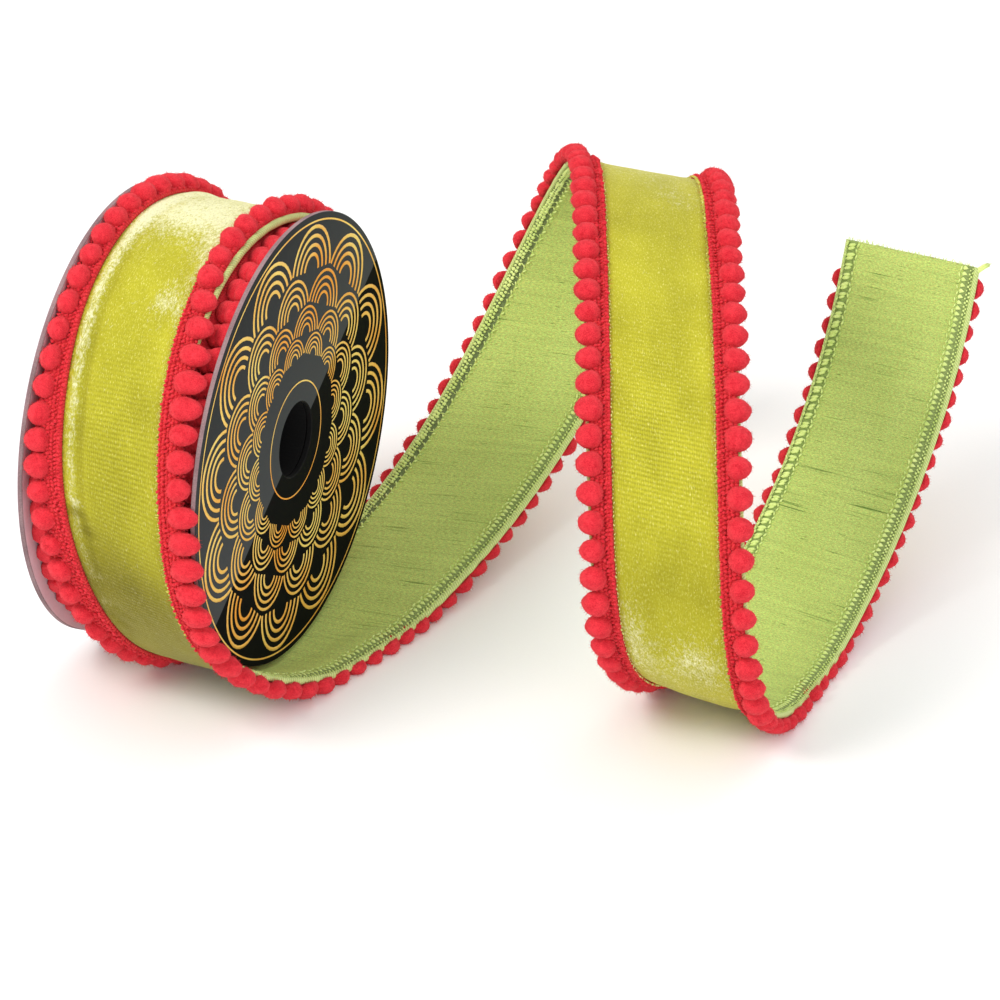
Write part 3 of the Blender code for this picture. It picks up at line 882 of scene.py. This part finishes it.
def groove_pompoms(name, side, felt):
    """Pompoms of the turns below, pressed into the groove between ribbon and flange."""
    rings = []
    for drop, across, least, count, seed in GROOVE_RINGS:
        angles = START_ANGLE + 2.0 + 356.0 * (np.arange(count) + 0.5) / count
        radius = wound_radius(angles) - drop
        outward, onward, axis = roll_axes(angles)
        mesh, points = beads(on_roll(side * across, radius, angles),
                             np.stack([axis, onward, outward], axis=1), GROOVE_POMPOM, 12, 8,
                             felt, seed, sway=(0.3, 0.3, 0.3))
        points[..., 0] = side * np.clip(side * points[..., 0], least, FLANGE_INNER_FACE - 0.1)
        distance = np.hypot(points[..., 1], points[..., 2])
        most = GROOVE_TOP if least > CLOTH_HALF_WIDTH else (radius + drop + 0.2)[:, None]
        points[..., 1:] *= (np.minimum(distance, most) / distance)[..., None]
        rings.append((mesh, points))
    return joined(name, *rings)


# ---- the ribbon

VELVET_COLUMNS = 33
BACK_COLUMNS = 25
HIDDEN_COLUMNS = 5
EDGE_THINNED = 0.35         # a cloth thins by this much towards its edges
THINNED_FROM = 22.5         # from this far across

# Puckers where the wire draws the velvet in: along, across, slope, half length (mm), depth
PUCKERS = [
    (396, -12, 0.7, 5, 1.0), (402, -11, 1.2, 6, 0.9), (430, -10, 0.9, 5, 1.0),
    (438, -12, 0.6, 4, 0.8), (341, -13, 0.4, 4, 0.4), (284, -13, -0.6, 5, 0.5),
    (276, -10, -0.9, 5, 0.35), (1062, 9, -1.1, 6, 0.3),
]

# Marks on the velvet, as soft spots: along, across, half length, half width (mm), strength
VELVET_MARKS = {
    # where the pile is crushed pale, and painted highlights on the roll's top, along the wire's
    # ridge and on the puckers
    "crush_and_highlight": [
        (225, 0, 38, 30, 0.85), (268, 3, 18, 30, 0.6), (290, 16, 14, 6, 0.35),
        (313, 10, 8, 6, 0.5), (305, -14.6, 65, 2.1, 0.65), (395, -14.6, 45, 1.4, 0.35),
        (330, 16, 60, 1.4, 0.25), (430, 4, 34, 18, 0.24), (818, 0, 22, 24, 0.3),
        (846, 9, 12, 9, 0.25), (1042, 8, 12, 12, 0.4), (1038, -14, 22, 6, 0.4),
        (1060, -2, 18, 20, 0.26), (389, -13, 1.6, 3, 0.45), (417, -11, 1.6, 4, 0.4),
        (429, -13, 1.6, 3, 0.45),
    ],
    # painted shade on the roll's lower front, in the crease by the wire's ridge, on the puckers and
    # on parts of the loose length
    "painted_shade": [
        (422, -2, 28, 40, 0.82), (465, 4, 40, 40, 0.72), (530, 0, 50, 60, 0.7),
        (350, -11.6, 70, 0.9, 0.6), (370, 2, 30, 20, 0.35), (393, -14.5, 2.2, 3.5, 0.6),
        (399, -11.5, 2.0, 3, 0.45), (421, -12.5, 2.2, 4, 0.55), (433, -14.5, 2.2, 3.5, 0.55),
        (1012, 0, 24, 30, 0.25), (840, 0, 22, 30, 0.12),
    ],
    # where the ribs of the ground weave show through the pile
    "ground": [
        (368, 3, 34, 17, 1.0), (424, 2, 26, 18, 0.7), (972, -2, 30, 24, 1.0),
        (930, 0, 26, 24, 0.35), (1085, 0, 30, 24, 0.6),
    ],
}


def velvet_relief(ribbon, along, across):
    """How far the velvet stands over flat cloth: its wire's ridge, creases and slack."""
    wound = 1 - ease(along, 330, 430)
    free = 1 - ribbon.resting(along)
    lower = 1 - 0.4 * ease(along, 360, 400)
    ridge = lower * (0.75 * hump(across, -15.0, 1.1) - 0.5 * hump(across, -11.8, 1.4))
    other = 0.45 * hump(across, 15.0, 1.5) - 0.2 * hump(across, 12.2, 1.6)
    crease = 0.5 * hump(across - 2.2 * np.sin(along / 31), -9.0, 1.1) * np.sin(along / 17)**2
    slack = 0.16 * np.sin(along / 9.1 + 0.35 * across) * np.cos(along / 23 - across / 6)
    for middle, side, slope, length, depth in PUCKERS:
        place = along - middle - slope * (across - side)
        slack = slack - depth * hump(place, 0, 2.0) * hump(across, side, length)
    return free * (wound * (ridge + other - 0.4 * crease) + (0.35 + 0.65 * wound) * slack
                   + (1 - wound) * 0.25 * (hump(across, 15.6, 1.3) + hump(across, -15.6, 1.3)))


def cloth(name, ribbon, side, columns, rise, material, marks=None, fray=0.0):
    """One of the ribbon's two cloths, on its outer side, 1, or its inner one, -1; rise is how
    far its seen face stands over flat cloth."""
    start, end = -side * CLOTH_HALF_WIDTH, side * CLOTH_HALF_WIDTH
    seen = np.linspace(start, end, columns)
    hidden = np.linspace(end, start, HIDDEN_COLUMNS)
    thinned = EDGE_THINNED * ease(np.abs(seen), THINNED_FROM, CLOTH_HALF_WIDTH)

    def section(place):
        faces = [(seen, side * (CLOTH_OUT - thinned[None, :]) + rise(place, seen[None, :])),
                 (hidden, np.broadcast_to(side * CLOTH_GAP, (len(place), HIDDEN_COLUMNS)))]
        # the face that lies further out comes first
        across, out = zip(*faces[::side])
        return np.concatenate(across)[None, :], np.hstack(out)

    return skin(name, ribbon, section, material, marks, fray)


def slack_backing(along, across):
    """How far the backing stands over flat cloth."""
    return 0.1 + 0.1 * np.sin(along / 14 + across / 5) * np.cos(along / 37)


ROLL_TOP = (150, 215)       # between these the edge loosens and the pompoms crowd in
LOOP_BACK = (720, 800)      # between these the loop's back turns out of sight
END_BACK = (1100, 1160)     # between these the cut end's back comes into sight
EDGE_REACH = 26.1           # how far across the rolled edges reach


def rolled_edge(name, ribbon, side, radius, loose, thread):
    """The wired edge, rolled and wrapped with thread, looser at the roll's top by so much."""
    turns = np.linspace(0, 2 * math.pi, 10, endpoint=False)
    near = float(loose > 0)

    def section(place):
        tucked = within(place, 180 + 140 * near, 350, 470 - 30 * near, 520 - 35 * near)
        first = within(place, 450, 500, *LOOP_BACK)
        fat = radius + loose * within(place, *ROLL_TOP, 290, 335) - 0.5 * tucked
        fat = fat + 0.15 * near * first
        swell = fat * (1 + 0.05 * np.sin(place / 1.9) * np.sin(place / 7.3))
        seen = first + ease(place, *END_BACK)
        middle = EDGE_REACH - radius - 1.3 * tucked + near * (0.6 * seen - 0.35 * first)
        return side * (middle + np.cos(turns) * swell), np.sin(turns) * swell - 0.1 - 0.6 * tucked

    return skin(name, ribbon, section, thread, fray=0.4)


# Section of the sewn braid, from the velvet outwards: across, out
BRAID_SECTION = [
    (17.6, 1.25), (17.8, 2.2), (18.5, 2.85), (19.3, 2.6), (19.9, 1.95), (20.8, 2.3),
    (22.2, 2.65), (23.6, 2.6), (24.5, 2.2), (24.9, 1.3), (24.95, 1.25), (24.9, 1.2),
]
# How far its last three points go to wrap the near edge on the roll: across, out
BRAID_WRAP = [(1.0, 0.0), (1.1, -1.0), (0.8, -2.3)]
BRAID_SHORT = 1.5           # the braid ends this far before the cut
BRAID_STEP = 1.2
RIPPLE_PITCH = 2.4


def braid_band(name, ribbon, side, braid):
    """The flat braid that carries the pompoms, sewn down along its groove."""
    across, out = np.array(BRAID_SECTION).T
    wrap = np.zeros((2, len(across)))
    wrap[:, -len(BRAID_WRAP):] = np.array(BRAID_WRAP).T

    def section(place):
        ripple = 0.12 * np.sin(2 * math.pi * place / RIPPLE_PITCH + 1.3 * across[None, :])
        top = (out > 1.5)[None, :]
        wrapped = (side > 0) * within(place, 310, 345, 430, 470)
        return (side * (across[None, :] + wrapped * wrap[0]),
                out[None, :] + ripple * top + wrapped * wrap[1])

    return skin(name, ribbon, section, braid, step=BRAID_STEP, short=BRAID_SHORT)


# ---- stitches

BACK_FROM = 330.0           # the back's far edge is hidden before this length
NEAR_BACK_FROM = 460.0      # and its near edge before this one
SEWING_FROM = {-1: 560, 1: 0}       # where the braid's sewing starts to show, far and near
LADDER_FROM = 1000.0        # the far edge's overlock lies slacker from here
RUNG_PITCH = 3.7            # from each stitch to the next, in every row of them
KNOT_PITCH = 1.5
WEDGE_PITCH = 2.15
CROSSING_PITCH = 4.6
SEWING_PITCH = 1.5
PILE_PITCH = 0.7
SEWING_ACROSS = 17.35       # the middle of the braid's sewing
LOOSE_THREADS = 150
TAB_THREADS = 22            # the end of the near edge's roll


def even(start, end, pitch):
    """Places a pitch apart between two lengths."""
    return np.arange(start + pitch / 2, end - 0.4, pitch)


def sewn(ribbon, along, across, out, size, lean, material, seed, change=0.08, sides=5, rings=3,
         taper=0.0):
    """Short thread stitches on the ribbon, each turned in its surface by lean (degrees) and
    narrowed by taper towards the ribbon's edge; size is half its reach across, along and out."""
    along, across, out, lean = np.broadcast_arrays(along, across, out, lean)
    axes = ribbon_axes(ribbon, along)
    cosine = np.cos(np.radians(lean))[:, None]
    sine = np.sin(np.radians(lean))[:, None]
    wide = cosine * axes[:, 0] + sine * axes[:, 1]
    long = cosine * axes[:, 1] - sine * axes[:, 0]
    turned = np.stack([wide, long, axes[:, 2]], axis=1)
    middles = ribbon.points(along, across, out)
    mesh, points = beads(middles, turned, size, sides, rings, material, seed, change)
    if taper:
        local = in_axes(points, middles, turned)
        local[..., 1] *= 1 - taper * np.clip(local[..., 0] / size[0], -1, 1)
        points = out_of_axes(local, middles, turned)
    return mesh, points


def chain(ribbon, across, start, end, pitch, thread, seed, lean=16, thick=0.4):
    """A line of chain stitch on the back: leaning loops, one after another."""
    along = even(start, end, pitch)
    turn = np.where(np.arange(len(along)) % 2, 1, -1)
    return sewn(ribbon, along, across + lean / 80 * turn, -1.5, (0.36, 0.49 * pitch, thick),
                lean * turn, thread, seed, change=0.2)


def knots(ribbon, across, start, end, thread, seed, size=(0.78, 0.74, 0.36)):
    """A row of small uneven knots on the back."""
    along = even(start, end, KNOT_PITCH)
    uneven = 0.22 * np.sin(along * 2.9 + seed) * np.sin(along * 0.71)
    return sewn(ribbon, along, across + uneven, -1.25, size, -20 + 40 * uneven, thread, seed,
                change=0.3)


def far_stitches(ribbon, thread, pale):
    """Overlock on the back of the far edge.  First two rows of knots beside the rolled edge, a
    bare strip that a few threads cross, and a scalloped chain; from LADDER_FROM pairs of puffy
    rungs between two chains."""
    start, end, last = BACK_FROM, LADDER_FROM, ribbon.length
    crossing = even(start, end, CROSSING_PITCH)
    crossing = crossing + 1.2 * np.sin(crossing * 1.7)
    rungs = even(end, last, RUNG_PITCH)
    lean = -14 + 9 * np.sin(rungs * 1.3)
    return joined(
        "far_overlock",
        knots(ribbon, -24.15, start, end, thread, 31),
        knots(ribbon, -22.95, start + KNOT_PITCH / 2, end, thread, 34),
        sewn(ribbon, crossing, -21.7, -1.15, (1.0, 0.2, 0.15), 24 * np.sin(crossing * 2.3),
             thread, 29, change=0.3),
        chain(ribbon, -20.5, start, end, 1.8, thread, 28, lean=34),
        sewn(ribbon, rungs + 0.62, -22.9, -1.25, (1.8, 0.8, 0.6), lean, thread, 31,
             sides=6, rings=4, change=0.16),
        sewn(ribbon, rungs - 0.62, -23.1, -1.2, (1.6, 0.74, 0.5), lean - 7, thread, 30,
             sides=6, rings=4, change=0.16),
        chain(ribbon, -20.7, end, last, 2.1, pale, 32),
        chain(ribbon, -25.0, end, last, 2.1, pale, 33))


def near_stitches(ribbon, thread, pale):
    """Overlock on the back of the near edge: a chain on the inside, then wedges of thread
    and two rows of small knots over darker ground."""
    start, end = NEAR_BACK_FROM, ribbon.length
    small = (0.42, 0.5, 0.22)
    return joined(
        "near_overlock",
        sewn(ribbon, even(start, end, WEDGE_PITCH), 21.7, -1.2, (1.15, 0.76, 0.22), 8, thread,
             34, sides=6, rings=4, taper=0.8),
        knots(ribbon, 23.75, start, end, thread, 35, small),
        knots(ribbon, 24.6, start + KNOT_PITCH / 2, end, pale, 36, small),
        chain(ribbon, 20.0, start, end, 2.3, pale, 37, thick=0.3))


def braid_sewing(ribbon, thread):
    """Pale thread that shows where the braid is sewn to the velvet, both sides."""
    rows = []
    for side, seed in ((-1, 37), (1, 38)):
        along = even(SEWING_FROM[side], ribbon.length - 1, SEWING_PITCH)
        across = side * (SEWING_ACROSS + 0.25 * np.sin(along * 2.7) * np.sin(along / 3.1))
        rows.append(sewn(ribbon, along, across, 1.9, (0.22, 0.5, 0.3),
                         35 * np.sin(along * 5.3), thread, seed, change=0.4))
    return joined("braid_sewing", *rows)


def edge_pile(ribbon, pile):
    """Pile that leans out of the velvet over the near braid."""
    along = even(0, ribbon.length - 2, PILE_PITCH)
    across = VELVET_HALF_WIDTH + 0.35 * np.sin(along * 2.1)
    return joined("velvet_edge_pile",
                  sewn(ribbon, along, across, 2.1, (0.85, 0.17, 0.3), 28 * np.sin(along * 3.3),
                       pile, 42, change=0.4))


def cut_threads(ribbon, thread):
    """Threads that stick out of the cut end, and the end of the near edge's roll."""
    order = np.arange(LOOSE_THREADS)
    across = np.linspace(-25, 24, LOOSE_THREADS) + 0.4 * np.sin(order * 2.1)
    along = ribbon.length - 0.6 + 0.6 * np.sin(order * 1.7)
    spread = np.linspace(-1, 1, TAB_THREADS)
    return joined(
        "cut_end_threads",
        sewn(ribbon, along, across, 0.8 * np.sin(order * 3.1), (0.15, 1.15, 0.15),
             30 * np.sin(order * 4.3), thread, 39, change=0.6),
        sewn(ribbon, ribbon.length + 0.2 + 0.9 * spread, 27.2 + 0.7 * np.sin(spread * 9),
             0.6 * np.cos(spread * 7), (0.45, 3.4, 0.4), 47 + 5 * spread, thread, 40,
             change=0.2, rings=4))


# Columns of loops on the braid: across, out, lean
LOOP_COLUMNS = [
    (18.4, 2.75, 28), (19.8, 2.35, -28), (21.2, 2.55, 28), (22.6, 2.65, -28), (24.0, 2.4, 28),
    (25.3, 2.0, -28), (26.3, 0.9, 28),
]
LOOP_PITCH = 1.55
# Where the edge is turned under, on the roll, loops also stand beyond the cloth: between which
# lengths, far and near
WRAPPED = {-1: (0, 500), 1: (325, 450)}


def braid_loops(name, ribbon, side, wool, seed):
    """The knitted loops on the braid's face."""
    rows = []
    for column, (across, out, lean) in enumerate(LOOP_COLUMNS):
        along = even(0, ribbon.length - BRAID_SHORT - 1, LOOP_PITCH) + 0.5 * (column % 2)
        if across > CLOTH_HALF_WIDTH:
            start, end = WRAPPED[side]
            along = along[(along > start) & (along < end)]
        uneven = 0.3 * np.sin(along * 1.9 + column) * np.sin(along / 4.7)
        high = out + 0.2 * np.sin(along * 2.3 + 2 * column)
        rows.append(sewn(ribbon, along, side * (across + uneven), high, (0.88, 0.6, 0.62),
                         lean * side + 16 * np.sin(along * 3.7), wool, seed + column,
                         change=0.3))
    return joined(name, *rows)


# ---- pompoms

POMPOM_SIZE = (4.6, 4.35, 3.8)      # half its reach across, along and out
POMPOM_MIDDLE = (25.1, 2.7)         # across and out of its middle
POMPOM_SIDES, POMPOM_RINGS = 16, 10     # faces round it, and from pole to pole
# Pompoms lie this far out over the rolled edge, and fall by so much between these places across
SEAT_OUT, SEAT_FALL, SEAT_EDGE = 1.35, 2.9, (25.9, 28.2)
POMPOM_FLOOR_GAP = 0.12             # over the surface below
WOOL_FIBRES = (0.93, 0.95)          # fibres a square millimetre, and their length
BRAID_FIBRES = (0.4, 1.8)

# How the roll and the rolled edges move the pompoms and stretch them, far and near
CROWDED_UNTIL = {-1: (290, 365), 1: (290, 335)}
DRAWN_IN = {-1: 1.5, 1: 3.5}        # towards the ribbon's middle, at the roll's top
CROWDED_STRETCH = {-1: 0.24, 1: -0.08}
PRESSED_OUT = {-1: 1.5, 1: 1.9}     # down the roll's front
PUSHED_IN = {-1: 0.0, 1: 1.2}       # where the back shows

# How the flanges, the roll and the surface press them
FLANGE_GAP = 0.15                   # left to a flange's inner face
RIM_GAP = 0.4                       # left over a flange's rim
MOST_SQUEEZE = 3.0                  # those that reach further past the near flange lie over it
LIFTED = 0.55                       # the share of its sinking by which a pompom rises

# Each braid is sewn evenly along its own edge, which is longer or shorter than the ribbon's
# middle where the ribbon turns: length along, times the usual pitch
SPACING = {
    -1: [(0, 1.0), (340, 1.0), (352, 1.05), (395, 1.05), (410, 1.0), (600, 0.95), (640, 0.91),
         (760, 0.87), (800, 1.0), (1000, 1.02), (1100, 0.93), (1312, 0.925)],
    1: [(0, 1.0), (325, 1.0), (348, 0.84), (380, 0.8), (392, 0.96), (404, 1.0), (430, 1.06),
        (470, 1.02), (485, 0.88), (550, 0.88), (570, 1.02), (700, 1.04), (800, 1.0),
        (1000, 1.02), (1100, 0.86), (1312, 0.86)],
}
LAST_POMPOM = {-1: 9.0, 1: 3.0}     # least length from each edge's last one to the cut


def pompom_places(ribbon, side):
    """Lengths along of an edge's pompoms."""
    lengths, factors = zip(*SPACING[side])
    places = [ribbon.pitch / 2]
    while True:
        step = ribbon.pitch * np.interp(places[-1], lengths, factors)
        if places[-1] + step > ribbon.length - LAST_POMPOM[side]:
            return np.array(places)
        places.append(places[-1] + step)


def seated(points, middles, axes, across, out, stretch):
    """Egg-shaped pompoms, fuller at their roots, kept off the rolled edge they lie over."""
    local = in_axes(points, middles, axes)
    local[..., 1:] *= 1 - 0.14 * local[..., :1] / POMPOM_SIZE[0]
    order = np.arange(len(points))[:, None]
    lumps = (np.sin(1.3 * local[..., 0] + 2.1 * order) * np.sin(1.5 * local[..., 1] + 1.7 * order)
             + 0.6 * np.sin(2.2 * local[..., 2] + 2.9 * order))
    local *= 1 + 0.032 * lumps[..., None]
    local *= stretch[:, None]
    lowest = SEAT_OUT - SEAT_FALL * ease(across + local[..., 0], *SEAT_EDGE)
    local[..., 2] = np.maximum(local[..., 2], lowest - out)
    return out_of_axes(local, middles, axes)


def give_way(points, middles, roots, least, most):
    """Pompoms pressed by the flanges, the roll, the loose turn and the surface they lie on."""
    press = FLANGE_INNER_FACE - FLANGE_GAP
    reach = np.abs(points[..., 0]).max(axis=1)
    start = np.abs(roots[:, 0])
    radius = np.hypot(middles[:, 1], middles[:, 2])
    between = (start < press) & (radius < FLANGE_RADIUS + 1.0)
    squeezed = between & (reach > press) & ((middles[:, 0] < 0) | (reach < press + MOST_SQUEEZE))
    factor = np.where(squeezed, (press - start) / np.maximum(reach - start, 0.1), 1.0)
    root = roots[:, None, 0]
    points[..., 0] = root + (points[..., 0] - root) * factor[:, None]
    x = np.abs(points[..., 0])
    distance = np.hypot(points[..., 1], points[..., 2])
    over_rim = (~between | (reach > press))[:, None] & (x > press) & (x < SPOOL_WIDTH / 2 + 0.3)
    wanted = np.where(over_rim, np.maximum(distance, FLANGE_RADIUS + RIM_GAP), distance)
    wanted = np.where(x < SPOOL_WIDTH / 2, np.clip(wanted, least[:, None], most[:, None]), wanted)
    points[..., 1:] *= np.where(distance < NEAR_ROLL, wanted / distance, 1.0)[..., None]
    floor = surface_height(points[..., 0]) + POMPOM_FLOOR_GAP
    sunk = np.maximum(0, (floor - points[..., 2]).max(axis=1))
    points[..., 2] += LIFTED * sunk[:, None]
    points[..., 2] = np.maximum(points[..., 2], floor)
    return points


def edge_pompoms(name, ribbon, side, felt, seed):
    """The pompoms along one edge: drawn in over the braid at the roll's top, pressed out down
    its front, and pushed in by the near rolled edge where the back shows."""
    along = pompom_places(ribbon, side)
    across, out = POMPOM_MIDDLE
    crowded = within(along, *ROLL_TOP, *CROWDED_UNTIL[side])
    pressed = within(along, 240, 340, 440, 500) * (1 - crowded)
    across = across - DRAWN_IN[side] * crowded + PRESSED_OUT[side] * pressed
    back_seen = within(along, 530, 600, *LOOP_BACK) + ease(along, *END_BACK)
    across = across - PUSHED_IN[side] * back_seen
    out = out + 0.7 * crowded
    petal = pressed * (side > 0)
    stretch = np.stack([1 + CROWDED_STRETCH[side] * crowded + 0.22 * petal,
                        1 - 0.1 * petal, 1 - 0.08 * petal], axis=1)
    middles = ribbon.points(along, side * across, out)
    roots = ribbon.points(along, side * (across - POMPOM_SIZE[0]), out)
    axes = ribbon_axes(ribbon, along)
    axes[:, :2] *= side
    mesh, points = beads(middles, axes, POMPOM_SIZE, POMPOM_SIDES, POMPOM_RINGS, felt, seed,
                         sway=(0.2, 0.25, 0.2))
    points = seated(points, middles, axes, across[:, None], out[:, None], stretch)
    least = np.where(along > ribbon.loose_from, ROLL_CLEARANCE, 0.0)
    most = np.where(along < COVERED_LENGTH, COVERED_RADIUS, 1000.0)
    return finished(name, mesh, give_way(points, middles, roots, least, most))


# ---- stage

CAMERA_YAW, CAMERA_PITCH = math.radians(22.58), math.radians(29.12)
CAMERA_PLACE = (101.33, -27.08, 1739.9)     # right, up and back of the spool's centre
AIM = Vector((0, 0, 0.06))                  # where the lights point
# Square soft lights: name, place, size (m), power (W), colour
LIGHTS = [
    ("key light", (-0.75, -1.0, 1.35), 0.7, 17, "#FFFDF8"),
    ("fill light", (1.3, -0.9, 0.9), 1.2, 5, "#FFFFFF"),
    ("back light", (0.2, 1.3, 1.2), 1.2, 5, "#FFFFFF"),
]


def camera():
    """A long lens, looking down at the roll from the right of its front."""
    flat = math.cos(CAMERA_PITCH)
    back = np.array([math.sin(CAMERA_YAW) * flat, -math.cos(CAMERA_YAW) * flat,
                     math.sin(CAMERA_PITCH)])
    right = np.cross([0, 0, 1], back)
    right /= np.linalg.norm(right)
    view = np.array([right, np.cross(back, right), back])
    origin = set_down([(0, 0, 0)])[0]
    axes = [Vector((set_down([axis])[0] - origin) / MM) for axis in view]
    lens = bpy.data.cameras.new("camera")
    lens.sensor_width = 36
    lens.lens = 180
    lens.clip_start = 0.05
    lens.clip_end = 50
    seen = placed("camera", lens)
    place = Vector(set_down([np.array(CAMERA_PLACE) @ view])[0])
    seen.matrix_world = Matrix.Translation(place) @ Matrix(axes).transposed().to_4x4()
    bpy.context.scene.camera = seen


def studio(paper):
    """A pale floor, a white room and the lights."""
    mesh = bpy.data.meshes.new("floor")
    mesh.from_pydata([(-6, -6, 0), (6, -6, 0), (6, 6, 0), (-6, 6, 0)], [], [(0, 1, 2, 3)])
    mesh.materials.append(paper)
    placed("floor", mesh)
    world = bpy.data.worlds.new("white room")
    world.use_nodes = True
    white = world.node_tree.nodes["Background"].inputs
    white[0].default_value = colour("#FFFFFF")
    white[1].default_value = 0.8
    bpy.context.scene.world = world
    bpy.context.scene.view_settings.view_transform = "Standard"
    for name, place, size, power, tint in LIGHTS:
        light = bpy.data.lights.new(name, "AREA")
        light.size = size
        light.energy = power
        light.color = colour(tint)[:3]
        made = placed(name, light)
        made.location = place
        made.rotation_euler = (AIM - Vector(place)).to_track_quat("-Z", "Y").to_euler()


# ---- all of it

BEADS = bead_tree()
FIBRES = fibre_tree()


def dress_spool(laminate, foil):
    """The two flanges, the print on the near one and the core tube's board."""
    card_edge = fibrous_material("raw card edge", "#A68C8E", "#745D60", 0.5)
    plain_card = fibrous_material("plain white card", "#E3D9E1", "#D8CDD6", 0.9)
    # the core's dark board, deepened to near black as painted shade inside the bore
    core_board_with_bore_shade = fibrous_material("dark core board with painted bore shade", "#100F0F", "#070707", 0.8)
    belongs(flange("near_flange", 1, laminate, card_edge, plain_card, core_board_with_bore_shade),
            "printed_card", "flange_near")
    belongs(flange("far_flange", -1, plain_card, card_edge, plain_card, card_edge),
            "plain_card", "flange_far")
    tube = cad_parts["core_tube"].data
    tube.materials.clear()
    tube.materials.append(core_board_with_bore_shade)
    belongs(gold_fans(foil), "printed_card")
    for name, (radius, width) in GOLD_RINGS.items():
        belongs(gold_ring(name, radius, width, foil), "printed_card")


def dress_edge(ribbon, side, label, cord, felt, braid, edge_thread):
    """An edge's rolled cord, its braid and its pompoms, and those of the turns below."""
    belongs(rolled_edge(label + "_rolled_edge", ribbon, side, *cord, edge_thread), "slub_cloth")
    band = braid_band(label + "_braid", ribbon, side, braid)
    belongs(band, "red_felt", label + "_edge_braid")
    pompoms = edge_pompoms(label + "_pompoms", ribbon, side, felt, 5 + side)
    belongs(pompoms, "red_felt", label + "_edge_braid")
    belongs(fuzz(label + "_wool_fibres", pompoms, felt, *WOOL_FIBRES, 20 + side), "red_felt")
    belongs(fuzz(label + "_braid_fibres", band, felt, *BRAID_FIBRES, 30 + side), "red_felt")
    belongs(braid_loops(label + "_braid_loops", ribbon, side, felt, 50 + 5 * side), "red_felt")
    inner = groove_pompoms(label + "_groove_pompoms", side, felt)
    belongs(inner, "red_felt", "inner_" + label + "_braid")


def main():
    """Dress the spool and its ribbon, and set the stage round them."""
    ribbon = Ribbon()
    camera()
    velvet = velvet_material()
    felt = felt_material()
    braid = braid_material()
    edge_thread = wrap_material()
    overlock = fibrous_material("green overlock thread", "#ECFAA2", "#C4DB76", 0.7, 0.3)
    chains = fibrous_material("pale overlock thread", "#F6FFB8", "#DAEA90", 0.7, 0.3)
    sewing = fibrous_material("pale sewing thread", "#EFEE9E", "#C9C65C", 0.8, 0.3)
    pile = fibrous_material("lime velvet pile", "#DAD860", "#A6A12A", 0.9, 0.4)

    dress_spool(laminate_material(), foil_material())
    belongs(wound_turns(velvet, edge_thread, felt, braid), "velvet", "wound_ribbon")
    face = cloth("velvet_face", ribbon, 1, VELVET_COLUMNS,
                 lambda along, across: velvet_relief(ribbon, along, across), velvet,
                 marks=VELVET_MARKS, fray=0.9)
    back = cloth("slub_backing", ribbon, -1, BACK_COLUMNS, slack_backing, slub_material(),
                 fray=0.7)
    belongs(face, "velvet", "velvet_face")
    belongs(back, "slub_cloth", "slub_backing")
    # each rolled edge's radius, and how much looser it is at the roll's top
    dress_edge(ribbon, -1, "far", (0.85, 0), felt, braid, edge_thread)
    dress_edge(ribbon, 1, "near", (1.1, 0.4), felt, braid, edge_thread)
    belongs(far_stitches(ribbon, overlock, chains), "slub_cloth")
    belongs(near_stitches(ribbon, overlock, chains), "slub_cloth")
    belongs(braid_sewing(ribbon, sewing), "velvet")
    belongs(edge_pile(ribbon, pile), "velvet")
    belongs(cut_threads(ribbon, overlock), "slub_cloth")
    studio(floor_material())


main()
